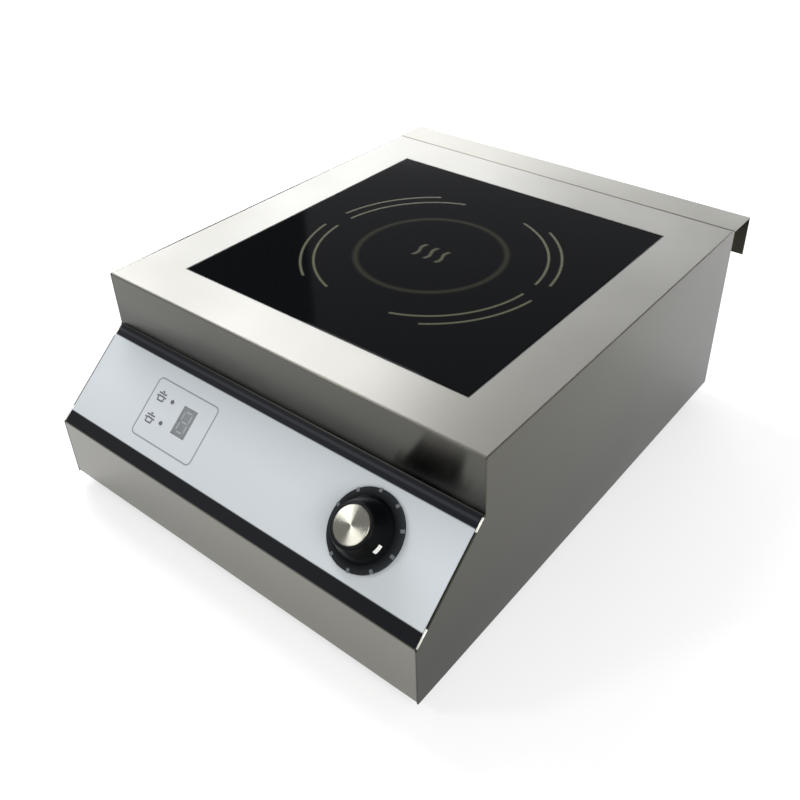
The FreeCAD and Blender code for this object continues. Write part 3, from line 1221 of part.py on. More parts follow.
def pole_places():
    """Y places of the poles of the terminal block."""
    return [TERMINAL_FRONT_Y + (i + 0.5) * TERMINAL_PITCH for i in range(TERMINAL_POLES)]


def make_terminals():
    """Mains terminal block beside the power board, and the earth stud in front of it."""
    top = BOTTOM_Z + TERMINAL_HEIGHT
    block = box(TERMINAL_X - TERMINAL_WIDTH / 2, TERMINAL_X + TERMINAL_WIDTH / 2, TERMINAL_FRONT_Y,
                TERMINAL_FRONT_Y + TERMINAL_LENGTH, BOTTOM_Z, top)
    wells = [cylinder(SCREW_HEAD_RADIUS, TERMINAL_WELL, (TERMINAL_X, y, top - TERMINAL_WELL))
             for y in pole_places()]
    stud = cylinder(STUD_RADIUS, EARTH_STUD, (TERMINAL_X, EARTH_Y, BOTTOM_Z))
    nut = hexagon(EARTH_NUT_ACROSS, EARTH_NUT, (TERMINAL_X, EARTH_Y, BOTTOM_Z))
    return {"terminal_block": cut_all(block, wells), "earth_stud": joined([stud, nut])}


# ================================================================ leads
def make_leads():
    """Leads between the pieces inside, each whole from end to end."""
    coil = []
    for (x, y), end in zip((inner_lead_place(), outer_lead_place()), COIL_TERMINAL_X):
        coil.append(routed([
            (x, y, COIL_Z),
            (x, y, STRAP_Z - LEAD_DROP),
            (end, COIL_TERMINAL_Y, CONNECTOR_TOP + LEAD_DROP),
            (end, COIL_TERMINAL_Y, CONNECTOR_TOP),
        ], COIL_LEAD_RADIUS))
    plug_z = (BOARD_TOP + CONNECTOR_TOP) / 2
    block_side = TERMINAL_X + TERMINAL_WIDTH / 2
    input_side = INPUT_X - CONNECTOR_WIDTH / 2
    mains = [routed([(block_side, y, plug_z), (input_side, y, plug_z)], MAINS_LEAD_RADIUS)
             for y in pole_places()[1:]]
    earth_z = BOTTOM_Z + EARTH_NUT + MAINS_LEAD_RADIUS
    earth = [(TERMINAL_X, TERMINAL_FRONT_Y, earth_z), (TERMINAL_X, EARTH_Y + STUD_RADIUS, earth_z)]
    mains.append(routed(earth, MAINS_LEAD_RADIUS))
    signal = [fan_lead(-FAN_X, CONNECTOR_X[0], plug_z), fan_lead(FAN_X, CONNECTOR_X[-1], plug_z),
              sensor_lead(CONNECTOR_X[-2], plug_z), display_lead(CONNECTOR_X[1], plug_z), control_lead()]
    return {"coil_leads": group(coil), "mains_leads": group(mains), "signal_leads": group(signal)}


def fan_lead(x, end, plug_z):
    """Lead from the back of a fan frame to its connector."""
    back, fan_z = FAN_Y + FAN / 2, BOTTOM_Z + FAN_DEPTH / 2
    return routed([
        (x, back, fan_z),
        (x, back + LEAD_DROP, fan_z),
        (end, CONNECTOR_Y - LEAD_DROP, plug_z),
        (end, CONNECTOR_Y, plug_z),
    ], SIGNAL_LEAD_RADIUS)


def sensor_lead(end, plug_z):
    """Lead from the sensor, down through its spring and the shield, to the power board."""
    return routed([
        (0, GLASS_Y, SENSOR_Z),
        (0, GLASS_Y, STRAP_Z - LEAD_DROP),
        (end, CONNECTOR_Y - LEAD_DROP, plug_z + LEAD_DROP),
        (end, CONNECTOR_Y - LEAD_TURN, plug_z),
        (end, CONNECTOR_Y, plug_z),
    ], SIGNAL_LEAD_RADIUS)


def display_lead(end, plug_z):
    """Lead from the back of the display board, between the fans, to the power board."""
    x = DISPLAY_LEFT_X + DISPLAY_LEAD_INSET
    floor = BOTTOM_Z + SIGNAL_LEAD_RADIUS
    return routed([
        slope_point(x, CONTROL_LINE, DISPLAY_BACK),
        slope_point(x, CONTROL_LINE, DISPLAY_BACK - LEAD_DROP),
        (0, FAN_Y - FAN / 2, floor),
        (0, FAN_Y + FAN / 2, floor),
        (end, CONNECTOR_Y - LEAD_TURN, plug_z),
        (end, CONNECTOR_Y, plug_z),
    ], SIGNAL_LEAD_RADIUS)


def control_lead():
    """Lead behind the slope from the rotary control to the display board."""
    x = DISPLAY_RIGHT_X - CONTROL_LEAD_INSET
    far = DISPLAY_BACK - LEAD_DROP
    return routed([
        slope_point(KNOB_X, CONTROL_LINE, POT_BACK),
        slope_point(KNOB_X, CONTROL_LINE, far),
        slope_point(x, CONTROL_LINE, far),
        slope_point(x, CONTROL_LINE, DISPLAY_BACK),
    ], SIGNAL_LEAD_RADIUS)


def slope_point(x, up, out):
    """A point given on the slope's axes, in the hob's."""
    angle = math.radians(SLOPE_ANGLE)
    y = FRONT_Y + up * math.cos(angle) - out * math.sin(angle)
    z = SLOPE_Z + up * math.sin(angle) + out * math.cos(angle)
    return (x, y, z)


# ================================================================ the hob
def main():
    """Makes every piece and writes one STEP file for each node."""
    makers = [make_cover, make_side_panels, make_rear_panel, make_base, make_glass, make_coil,
              make_sensor, make_display, make_knob, make_pot, make_fans, make_power_board,
              make_heat_sink, make_board_parts, make_gland, make_terminals, make_leads]
    os.makedirs("parts", exist_ok=True)
    for maker in makers:
        for name, shape in maker().items():
            shape.exportStep(os.path.join("parts", name + ".step"))
            print(name, len(shape.Solids), "solids", round(shape.Volume), "mm3")


main()
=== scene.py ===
# %% [markdown]
# Countertop induction hob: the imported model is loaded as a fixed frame. Blender gives each part its
# finish, adds the thin printed and welded details, and lights the whole as in a small studio.
# Everything is in metres, with +Z up and the front of the hob towards -Y.

# %% Load the part
import json
import math

import bpy
from mathutils import Matrix, Vector


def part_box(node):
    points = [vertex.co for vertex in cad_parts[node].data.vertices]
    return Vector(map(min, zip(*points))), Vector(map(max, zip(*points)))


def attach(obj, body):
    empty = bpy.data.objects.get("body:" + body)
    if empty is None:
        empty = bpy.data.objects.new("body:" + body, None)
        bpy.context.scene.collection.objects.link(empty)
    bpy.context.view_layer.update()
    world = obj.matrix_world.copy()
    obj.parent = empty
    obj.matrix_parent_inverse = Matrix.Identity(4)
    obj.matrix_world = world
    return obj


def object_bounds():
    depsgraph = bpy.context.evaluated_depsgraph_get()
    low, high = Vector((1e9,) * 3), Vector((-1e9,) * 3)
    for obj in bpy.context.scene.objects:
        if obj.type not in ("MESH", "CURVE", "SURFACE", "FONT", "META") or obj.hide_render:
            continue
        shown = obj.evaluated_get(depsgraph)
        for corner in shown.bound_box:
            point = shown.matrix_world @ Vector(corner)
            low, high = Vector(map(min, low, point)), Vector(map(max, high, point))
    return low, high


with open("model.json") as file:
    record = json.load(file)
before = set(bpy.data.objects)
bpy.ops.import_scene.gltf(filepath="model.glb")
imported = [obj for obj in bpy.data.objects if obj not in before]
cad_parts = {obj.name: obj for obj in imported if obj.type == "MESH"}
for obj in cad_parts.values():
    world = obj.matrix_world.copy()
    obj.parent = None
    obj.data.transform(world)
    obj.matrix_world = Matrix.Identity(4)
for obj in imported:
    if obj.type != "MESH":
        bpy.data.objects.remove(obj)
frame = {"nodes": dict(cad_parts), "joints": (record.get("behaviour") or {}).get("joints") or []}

NODES = frame["nodes"]
CAD_LOW, CAD_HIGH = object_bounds()
MM = 0.001
print("parts:", len(NODES), "box in mm:", [round(v / MM, 1) for v in (*CAD_LOW, *CAD_HIGH)])

# %% [markdown]
# The control panel leans back, so its own axes are needed again and again: ACROSS runs along the
# panel, UP_SLOPE climbs it and OUT points away from its face. The knob's joint stands square on the
# panel, which gives the lean, and the printed film gives the panel's ends.

# %% Axes of the sloping panel
knob_joint = next(j for j in frame["joints"] if j["name"] == "knob_turn")
OUT = Vector(knob_joint["axis"]).normalized()
if OUT.z < 0:
    OUT = -OUT
ACROSS = Vector((1, 0, 0))
UP_SLOPE = OUT.cross(ACROSS).normalized()
LEAN = math.atan2(UP_SLOPE.z, UP_SLOPE.y)


def reach(node, axis):
    """Lowest and highest place of a part along an axis."""
    along = [v.co.dot(axis) for v in NODES[node].data.vertices]
    return min(along), max(along)


FILM_BOTTOM, FILM_TOP = reach("control_overlay", UP_SLOPE)
FILM_FACE = reach("control_overlay", OUT)[1]
WINDOW_FACE = reach("display_window", OUT)[1]


def on_panel(x, down, above=0.0):
    """A place on the printed film: x across, down from its top edge, above its face, in metres."""
    return ACROSS * x + UP_SLOPE * (FILM_TOP - down) + OUT * (FILM_FACE + above)


print("lean in degrees:", round(math.degrees(LEAN), 2))
print("film height in mm:", round((FILM_TOP - FILM_BOTTOM) / MM, 2))

# %% [markdown]
# The camera stands at the right of the front and looks down on the hob, near enough that the sides
# draw together towards the back. A lens of about 41 mm and a small shift place the hob in the frame.

# %% Camera
camera = bpy.data.objects.new("studio_camera", bpy.data.cameras.new("studio_camera"))
bpy.context.scene.collection.objects.link(camera)
camera.location = (0.442691, -0.543069, 0.568242)
camera.rotation_euler = [math.radians(a) for a in (55.4503, 0.5563, 37.9163)]
camera.data.sensor_width = 36.0
camera.data.lens = 40.99
camera.data.shift_x = -0.0403
camera.data.shift_y = -0.0626
camera.data.clip_end = 50.0
bpy.context.scene.camera = camera
print("camera:", [round(v, 3) for v in camera.location], "lens in mm:", round(camera.data.lens, 2))

# %% [markdown]
# Two helpers serve all materials. Colours are written as the hex numbers that a paint program
# shows and turned to the linear values that shaders need. add_node adds one node, sets its values
# and joins its inputs, so that a material reads from top to bottom.

# %% Helpers for materials


def linear(hex_colour):
    """A "#rrggbb" colour as the linear RGBA that Blender's shaders use."""
    channels = [int(hex_colour[i:i + 2], 16) / 255 for i in (1, 3, 5)]
    return (*(c / 12.92 if c <= 0.04045 else ((c + 0.055) / 1.055) ** 2.4 for c in channels), 1.0)


def add_node(tree, kind, inputs=None, stops=None, **settings):
    """Adds a node, sets its settings, and gives each input a value or joins it to an output."""
    node = tree.nodes.new(kind)
    for name, value in settings.items():
        setattr(node, name, value)
    for name, value in (inputs or {}).items():
        if isinstance(value, bpy.types.NodeSocket):
            tree.links.new(value, node.inputs[name])
        else:
            node.inputs[name].default_value = value
    for i, (place, colour) in enumerate(stops or []):
        ramp = node.color_ramp
        stop = ramp.elements[i] if i < 2 else ramp.elements.new(place)
        stop.position = place
        stop.color = linear(colour) if isinstance(colour, str) else (colour, colour, colour, 1.0)
    return node


def new_material(name, **shader_values):
    """A material with one Principled shader, and its tree, shader and Object coordinates."""
    material = bpy.data.materials.new(name)
    material.use_nodes = True
    tree = material.node_tree
    shader = tree.nodes["Principled BSDF"]
    for socket, value in shader_values.items():
        shader.inputs[socket.replace("_", " ")].default_value = value
    place = add_node(tree, "ShaderNodeTexCoord").outputs["Object"]
    print("material:", name)
    return material, tree, shader, place


def finish_parts(material, *names):
    """Gives CAD parts their material."""
    for name in names:
        for slot in NODES[name].material_slots:
            slot.material = material


# %% [markdown]
# The hob stands on a plain sheet of matt paper. Lamps alone can't make such a sheet an even white
# without burning out the steel, so the paper is a mid grey that also glows a little, and only
# towards the eye, mirrors and glass. Further out it glows more for the eye, so it is white there and
# no line shows where it ends. What it throws back on to the hob is still the light of grey paper.

# %% Floor
GLOW, FAR_GLOW = 0.55, 0.45
GLOW_GROWS, GLOW_FULL = 0.45, 0.9  # metres from the hob's middle


def seen(tree):
    """1 for what the eye, mirrors and glass see, 0 for the light that falls on things."""
    rays = add_node(tree, "ShaderNodeLightPath").outputs
    direct = add_node(tree, "ShaderNodeMath", {0: rays["Is Camera Ray"], 1: rays["Is Glossy Ray"]},
                      operation="MAXIMUM")
    direct = add_node(tree, "ShaderNodeMath", {0: direct.outputs[0], 1: rays["Is Transmission Ray"]},
                      operation="MAXIMUM")
    return direct.outputs[0]


bpy.ops.object.select_all(action="DESELECT")
bpy.ops.mesh.primitive_plane_add(size=16.0, location=(0, 0, 0))
floor = bpy.context.object
floor.name = "studio_floor"
floor_material, tree, shader, place = new_material("matt_white_floor", Roughness=0.9)
shader.inputs["Base Color"].default_value = linear("#adadad")
shader.inputs["Specular IOR Level"].default_value = 0.0
glow = add_node(tree, "ShaderNodeMath", {0: seen(tree), 1: GLOW}, operation="MULTIPLY")
from_hob = add_node(tree, "ShaderNodeVectorMath", {0: place}, operation="LENGTH").outputs["Value"]
far_away = add_node(tree, "ShaderNodeMapRange", {"Value": from_hob, "From Min": GLOW_GROWS,
                                                 "From Max": GLOW_FULL, "To Max": FAR_GLOW})
by_eye = add_node(tree, "ShaderNodeLightPath").outputs["Is Camera Ray"]
glow = add_node(tree, "ShaderNodeMath", {0: far_away.outputs[0], 1: by_eye, 2: glow.outputs[0]},
                operation="MULTIPLY_ADD")
shader.inputs["Emission Color"].default_value = (1, 1, 1, 1)
tree.links.new(glow.outputs[0], shader.inputs["Emission Strength"])
floor.data.materials.append(floor_material)

# %% [markdown]
# Round the sheet the studio is an even white. The eye, mirror-like faces and glass see it fully
# white, but it lights the hob with less than half of that, so that the lamps still model its form.

# %% World
DAYLIGHT, BACKGROUND = 0.45, 1.0
world = bpy.data.worlds.new("pale_studio")
bpy.context.scene.world = world
world.use_nodes = True
tree = world.node_tree
strength = add_node(tree, "ShaderNodeMapRange", {"Value": seen(tree), "To Min": DAYLIGHT,
                                                 "To Max": BACKGROUND})
tree.links.new(strength.outputs[0], tree.nodes["Background"].inputs["Strength"])
tree.nodes["Background"].inputs["Color"].default_value = (1, 1, 1, 1)
print("studio white for light and for the eye:", DAYLIGHT, BACKGROUND)

# %% [markdown]
# Five soft lamps model the form. A large window high on the left makes the front left of the deck
# the brightest steel, because brushed metal smears its picture across the grain. A sheet behind
# the left corner brightens the rear of the deck and the hood, and a weaker one behind the right
# corner the rear of the right side. A sheet in front on the right lights the control panel and the
# right side. A small key in front on the left draws the bright bow tie on the knob's spun disc,
# for which the large lamps are too broad.

# %% Lamps


def add_lamp(name, place, aim, width, height, radiance, upright=(0, 0, 1), tint="#ffffff"):
    """A soft rectangular lamp facing aim, its height along upright; radiance 1 looks white."""
    lamp = bpy.data.objects.new(name, bpy.data.lights.new(name, "AREA"))
    bpy.context.scene.collection.objects.link(lamp)
    lamp.data.shape = "RECTANGLE"
    lamp.data.size, lamp.data.size_y = width, height
    lamp.data.energy = radiance * math.pi * width * height
    lamp.data.color = linear(tint)[:3]
    lamp.visible_camera = False
    back = (Vector(place) - Vector(aim)).normalized()
    side = Vector(upright).cross(back).normalized()
    turn = Matrix((side, back.cross(side), back)).transposed().to_4x4()
    lamp.matrix_world = Matrix.Translation(place) @ turn
    print(name, "size in m:", width, height, "radiance:", radiance)


COOL = "#f7f8ff"
add_lamp("left_window", (-1.26, 0.37, 1.25), (0, 0, 0.18), 1.25, 0.72, 13.3,
         upright=(0, -0.95, 0.33), tint=COOL)
add_lamp("rear_sheet", (-0.8, 1.78, 0.62), (0, 0, 0.18), 1.95, 0.55, 11.5, tint=COOL)
add_lamp("right_rear_sheet", (0.9, 1.7, 0.45), (0.1, 0.1, 0.15), 0.8, 0.8, 6.0, tint=COOL)
add_lamp("right_front_sheet", (1.1, -0.75, 0.85), (0, -0.1, 0.1), 1.0, 0.8, 5.4)
add_lamp("small_key", (-1.071, -1.249, 1.357), (0.123, -0.23, 0.118), 0.3, 0.3, 30.0)

# %% [markdown]
# A black flag hangs far off at the left, out of the camera's sight. Only mirror-like faces see it:
# it gives the glossy plate its deep black left corner.

# %% Black flag
bpy.ops.object.select_all(action="DESELECT")
bpy.ops.mesh.primitive_plane_add(size=1.0, location=(-2.75, 1.45, 1.85))
flag = bpy.context.object
flag.name = "studio_flag"
bpy.ops.object.mode_set(mode="EDIT")
bpy.ops.transform.rotate(value=math.radians(90), orient_axis="X", center_override=flag.location)
bpy.ops.transform.resize(value=(1.5, 1.0, 2.6), center_override=flag.location)
bpy.ops.transform.rotate(value=math.radians(-62), orient_axis="Z", center_override=flag.location)
bpy.ops.object.mode_set(mode="OBJECT")
flag_material, tree, shader, place = new_material("black_velvet", Roughness=1.0)
shader.inputs["Base Color"].default_value = linear("#050505")
shader.inputs["Specular IOR Level"].default_value = 0.0
flag.data.materials.append(flag_material)
flag.visible_camera = False
flag.visible_diffuse = False
flag.visible_shadow = False

# %% [markdown]
# The casing is 1.2 mm sheet of 18/8 stainless steel with a satin brushed face. Fine scratches run
# along the long way of each sheet. They spread a reflection across the grain and keep it sharp
# along the grain, which is what makes the metal look brushed. The scratches are 0.1 mm apart on the
# real sheet. They are drawn 0.7 mm apart here so that they show at all. Handling has dulled the
# faces that look upwards and the bare strips beside the film most. A real workshop would also be
# mirrored in the upright faces, dark where the room is dark. The studio is plain, so that dark
# reflection is painted into the colour instead: the steel is darker than bare stainless, each sheet
# has a painted tone of its own, and each is given painted shade by its height.

# %% Brushed stainless steel
SCRATCH, SCRATCH_LENGTH = 0.7 * MM, 60 * MM
DULL = 0.6  # roughness of the bare strips of the slope


def brushed_stainless(name, grain, smear, colour, painted_shade_heights, roughness=0.16, worn=0.16):
    """Satin brushed sheet; grain is the scratches' direction and smear the way that light spreads.

    The list of stops gives, for each height in mm, the share of the colour left there; this is
    painted reflection and shade. roughness is that of upright faces and worn that of faces that look up.
    """
    material, tree, shader, place = new_material(name, Metallic=1.0, Anisotropic=0.92)
    scale = [1 / SCRATCH_LENGTH if axis else 1 / SCRATCH for axis in grain]
    drawn = add_node(tree, "ShaderNodeMapping", {"Vector": place, "Scale": scale})
    lines = add_node(tree, "ShaderNodeTexNoise", {"Vector": drawn.outputs[0], "Scale": 1.0, "Detail": 3.0,
                                                  "Roughness": 0.6})
    patches = add_node(tree, "ShaderNodeTexNoise",
                       {"Vector": place, "Scale": 1 / (90 * MM), "Detail": 2.0})
    dark = [shade * 0.95 for shade in linear(colour)[:3]]
    light = [shade * 1.05 for shade in linear(colour)[:3]]
    tint = add_node(tree, "ShaderNodeMix", {0: lines.outputs["Fac"], 6: (*dark, 1), 7: (*light, 1)},
                    data_type="RGBA")
    height = add_node(tree, "ShaderNodeSeparateXYZ", {0: place}).outputs["Z"]
    height = add_node(tree, "ShaderNodeMath", {0: height, 1: CAD_HIGH.z}, operation="DIVIDE").outputs[0]
    # The ramp below paints reflection and shade by height into the steel's colour.
    stops = [(z * MM / CAD_HIGH.z, left) for z, left in painted_shade_heights]
    share = add_node(tree, "ShaderNodeValToRGB", {0: height}, stops=stops)
    toned = add_node(tree, "ShaderNodeVectorMath", {0: tint.outputs[2], 1: share.outputs[0]},
                     operation="MULTIPLY")
    tree.links.new(toned.outputs[0], shader.inputs["Base Color"])
    blend = add_node(tree, "ShaderNodeMath", {0: lines.outputs["Fac"], 1: 0.5, 2: patches.outputs["Fac"]},
                     operation="MULTIPLY_ADD")
    rough = add_node(tree, "ShaderNodeMapRange", {"Value": blend.outputs[0], "From Min": 0.4,
                                                  "From Max": 1.1, "To Min": -0.03, "To Max": 0.04})
    facing = add_node(tree, "ShaderNodeNewGeometry").outputs["True Normal"]
    facing = add_node(tree, "ShaderNodeSeparateXYZ", {0: facing}).outputs["Z"]
    wear = add_node(tree, "ShaderNodeValToRGB", {0: facing}, stops=[
        (0.0, roughness), (1.0, worn), (0.55, roughness), (0.68, DULL), (0.85, DULL), (0.96, worn)])
    rough = add_node(tree, "ShaderNodeMath", {0: rough.outputs[0], 1: wear.outputs[0]}, operation="ADD")
    tree.links.new(rough.outputs[0], shader.inputs["Roughness"])
    bump = add_node(tree, "ShaderNodeBump",
                    {"Height": lines.outputs["Fac"], "Strength": 0.10, "Distance": 0.05 * MM})
    tree.links.new(bump.outputs[0], shader.inputs["Normal"])
    across = add_node(tree, "ShaderNodeCombineXYZ", dict(zip("XYZ", smear)))
    tree.links.new(across.outputs[0], shader.inputs["Tangent"])
    return material


# %% Steel of the cover, the sides and the rear
# Shares of the cover's colour left at heights in mm: painted reflection and shade, darkest on the fascia.
lower_front = [(0, 0.88), (182, 0.75), (66.8, 0.92)]  # the ends of the scale come first
slope = [(67.6, 0.30), (130.0, 0.25), (131.0, 0.25)]
fascia = [(131.6, 0.22), (140, 0.28), (150, 0.37), (158, 0.42), (180.2, 0.44)]
deck = [(181.4, 0.75)]
# Across the folds of the cover the grain runs from side to side, so light spreads up and down.
folded_steel = brushed_stainless("brushed_stainless_cover", (1, 0, 0), (0, 1, 1), "#82817a",
                                 lower_front + slope + fascia + deck, roughness=0.14, worn=0.40)
# The sides are brushed from front to back. Their dark tone, darker towards the table, is painted shade.
side_steel = brushed_stainless("brushed_stainless_sides", (0, 1, 0), (0, 0, 1), "#5a5951",
                               [(0, 0.28), (182, 1.0), (35, 0.34), (100, 0.66), (160, 0.93)])
# The rear wall with its hood and the base plate are the same sheet in a nearly even tone.
# That tone and its slight darkening towards the bottom are painted reflection too.
plain_steel = brushed_stainless("brushed_stainless_plain", (1, 0, 0), (0, 1, 1), "#706f67",
                                [(0, 0.9), (182, 1.0)], worn=0.40)
finish_parts(folded_steel, "top_cover")
finish_parts(side_steel, "left_side_panel", "right_side_panel")
finish_parts(plain_steel, "rear_panel", "base_plate")

# %% [markdown]
# The plate under the pan is glass-ceramic, fired black with a polished face. The cooking zone is
# screen-printed in a dull gold enamel: a soft inner ring, two pairs of arcs on each side and three
# short wavy strokes in the middle. The print is a few hundredths of a millimetre thick, so it is
# drawn in the glass's own colour instead of as pieces on top. The polish mirrors the studio in a
# sharp, dark picture, and the enamel breaks it up where it lies.

# %% Glass-ceramic
glass_low, glass_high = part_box("glass_plate")
ZONE_CENTRE = (glass_low + glass_high) / 2 + Vector((1.5 * MM, -2 * MM, 0))
ZONE_CENTRE.z = 0
black_glass, tree, shader, place = new_material("black_glass_ceramic")
shader.inputs["IOR"].default_value = 1.5
shader.inputs["Specular IOR Level"].default_value = 0.016
centred = add_node(tree, "ShaderNodeVectorMath", {0: place, 1: ZONE_CENTRE}, operation="SUBTRACT")
parts = add_node(tree, "ShaderNodeSeparateXYZ", {0: centred.outputs[0]})
flat = add_node(tree, "ShaderNodeCombineXYZ", {"X": parts.outputs["X"], "Y": parts.outputs["Y"]})
radius = add_node(tree, "ShaderNodeVectorMath", {0: flat.outputs[0]}, operation="LENGTH").outputs["Value"]
side_x = add_node(tree, "ShaderNodeMath", {0: parts.outputs["X"]}, operation="ABSOLUTE").outputs[0]
side_y = add_node(tree, "ShaderNodeMath", {0: parts.outputs["Y"]}, operation="ABSOLUTE").outputs[0]
angle = add_node(tree, "ShaderNodeMath", {0: side_y, 1: side_x}, operation="ARCTAN2").outputs[0]
print("middle of the cooking zone in mm:", [round(v / MM, 1) for v in ZONE_CENTRE.xy])

# %% Arcs and ring of the cooking zone


def near(value, middle, half_width, softness):
    """1 where value is within half_width of middle, fading to 0 over softness."""
    off = add_node(tree, "ShaderNodeMath", {0: value, 1: middle}, operation="SUBTRACT")
    away = add_node(tree, "ShaderNodeMath", {0: off.outputs[0]}, operation="ABSOLUTE")
    fade = add_node(tree, "ShaderNodeMapRange", {"Value": away.outputs[0],
                                                 "From Min": half_width + softness / 2,
                                                 "From Max": half_width - softness / 2})
    return fade.outputs[0]


ARC_WIDTH, ARC_BLUR = 2.2 * MM, 1.2 * MM


def arc(middle, first, last):
    """A printed arc at this radius, between two angles in each quarter, in degrees."""
    line = near(radius, middle, ARC_WIDTH / 2, ARC_BLUR)
    halfway, half_span = math.radians((first + last) / 2), math.radians((last - first) / 2)
    span = near(angle, halfway, half_span, math.radians(1.0))
    return add_node(tree, "ShaderNodeMath", {0: line, 1: span}, operation="MULTIPLY").outputs[0]


inner_arcs, outer_arcs = arc(103.5 * MM, 5, 71), arc(115.0 * MM, 7, 57)
print_mask = add_node(tree, "ShaderNodeMath", {0: inner_arcs, 1: outer_arcs},
                      operation="MAXIMUM").outputs[0]
RING_RADIUS, RING_HALF_WIDTH, RING_BLUR, RING_INK = 67 * MM, 1.4 * MM, 5 * MM, 0.35
ring = near(radius, RING_RADIUS, RING_HALF_WIDTH, RING_BLUR)
ring = add_node(tree, "ShaderNodeMath", {0: ring, 1: RING_INK}, operation="MULTIPLY").outputs[0]
print_mask = add_node(tree, "ShaderNodeMath", {0: print_mask, 1: ring}, operation="MAXIMUM").outputs[0]

# %% Wavy strokes in the middle of the zone
STROKE_PITCH, STROKE_HALF_WIDTH, STROKE_HALF_HEIGHT = 12.5 * MM, 1.7 * MM, 11 * MM
WAVE_LENGTH, WAVE_SWING, STROKE_INK = 22 * MM, 1.6 * MM, 0.7
for middle in (-STROKE_PITCH, 0.0, STROKE_PITCH):
    wave = add_node(tree, "ShaderNodeMath", {0: parts.outputs["Y"], 1: 2 * math.pi / WAVE_LENGTH},
                    operation="MULTIPLY")
    wave = add_node(tree, "ShaderNodeMath", {0: wave.outputs[0]}, operation="SINE")
    wave = add_node(tree, "ShaderNodeMath", {0: wave.outputs[0], 1: WAVE_SWING, 2: parts.outputs["X"]},
                    operation="MULTIPLY_ADD")
    stroke = near(wave.outputs[0], middle, STROKE_HALF_WIDTH, 1.4 * MM)
    height = near(parts.outputs["Y"], 0.0, STROKE_HALF_HEIGHT, 2 * MM)
    stroke = add_node(tree, "ShaderNodeMath", {0: stroke, 1: height}, operation="MULTIPLY").outputs[0]
    stroke = add_node(tree, "ShaderNodeMath", {0: stroke, 1: STROKE_INK}, operation="MULTIPLY").outputs[0]
    print_mask = add_node(tree, "ShaderNodeMath", {0: print_mask, 1: stroke},
                          operation="MAXIMUM").outputs[0]
print("strokes in mm:", round(2 * STROKE_HALF_HEIGHT / MM, 1), "long,",
      round(STROKE_PITCH / MM, 1), "apart")

# %% Colour and polish of the glass
upward = add_node(tree, "ShaderNodeNewGeometry").outputs["Normal"]
upward = add_node(tree, "ShaderNodeSeparateXYZ", {0: upward}).outputs["Z"]
upward = add_node(tree, "ShaderNodeMath", {0: upward, 1: 0.9}, operation="GREATER_THAN").outputs[0]
print_mask = add_node(tree, "ShaderNodeMath", {0: print_mask, 1: upward}, operation="MULTIPLY").outputs[0]
speckle = add_node(tree, "ShaderNodeTexNoise", {"Vector": place, "Scale": 1 / (0.8 * MM), "Detail": 2.0})
body = add_node(tree, "ShaderNodeValToRGB", {0: speckle.outputs["Fac"]},
                stops=[(0.3, "#07080a"), (0.7, "#0c0d0e")])
colour = add_node(tree, "ShaderNodeMix", {0: print_mask, 6: body.outputs[0], 7: linear("#464737")},
                  data_type="RGBA")
tree.links.new(colour.outputs[2], shader.inputs["Base Color"])
GLASS_ROUGHNESS, ENAMEL_ROUGHNESS = 0.06, 0.35
polish = add_node(tree, "ShaderNodeMapRange", {"Value": print_mask, "To Min": GLASS_ROUGHNESS,
                                               "To Max": ENAMEL_ROUGHNESS})
tree.links.new(polish.outputs[0], shader.inputs["Roughness"])
finish_parts(black_glass, "glass_plate")

# %% [markdown]
# The control film is a polycarbonate sheet printed from behind and stuck to the slope. It is pale
# blue-grey, and a near-black band runs along its upper and lower edges. The thin grey line inside
# the upper band is a painted highlight. The satin face shows no mirror picture, so the tone stays
# even. The bands are a colour ramp down the slope, because they are straight and run from end to end.

# %% Printed control film
film, tree, shader, place = new_material("printed_polycarbonate_film", Roughness=0.45)
shader.inputs["IOR"].default_value = 1.58
shader.inputs["Specular IOR Level"].default_value = 0.05
climb = add_node(tree, "ShaderNodeVectorMath", {0: place, 1: UP_SLOPE},
                 operation="DOT_PRODUCT").outputs["Value"]
down = add_node(tree, "ShaderNodeMath", {0: FILM_TOP, 1: climb}, operation="SUBTRACT").outputs[0]
FILM_HEIGHT = FILM_TOP - FILM_BOTTOM
share = add_node(tree, "ShaderNodeMath", {0: down, 1: FILM_HEIGHT}, operation="DIVIDE").outputs[0]
# The lighter grey from 3.4 to 4.6 mm below the top edge is a painted highlight along the upper band.
from_top = [(2.2, "#14151b"), (3.4, "#2d2f33"), (4.6, "#2d2f33"), (5.8, "#15161c"), (9.4, "#14151b"),
            (10.4, "#b9bfc2")]  # millimetres below the top edge
from_foot = [(11.6, "#b8bdbf"), (10.8, "#0f1013")]  # millimetres above the lower edge
stops = [(0.0, "#121319"), (1.0, "#0f1014")]
stops += [(mm * MM / FILM_HEIGHT, tone) for mm, tone in from_top]
stops += [(0.5, "#bec3c6")]
stops += [(1 - mm * MM / FILM_HEIGHT, tone) for mm, tone in from_foot]
bands = add_node(tree, "ShaderNodeValToRGB", {0: share}, stops=stops)
mottle = add_node(tree, "ShaderNodeTexNoise", {"Vector": place, "Scale": 1 / (0.6 * MM), "Detail": 3.0})
grain = add_node(tree, "ShaderNodeMapRange",
                 {"Value": mottle.outputs["Fac"], "To Min": 0.97, "To Max": 1.03})
tone = add_node(tree, "ShaderNodeVectorMath", {0: bands.outputs[0], 1: grain.outputs[0]},
                operation="MULTIPLY")
tree.links.new(tone.outputs[0], shader.inputs["Base Color"])
bump = add_node(tree, "ShaderNodeBump",
                {"Height": mottle.outputs["Fac"], "Strength": 0.08, "Distance": 0.05 * MM})
tree.links.new(bump.outputs[0], shader.inputs["Normal"])
finish_parts(film, "control_overlay")

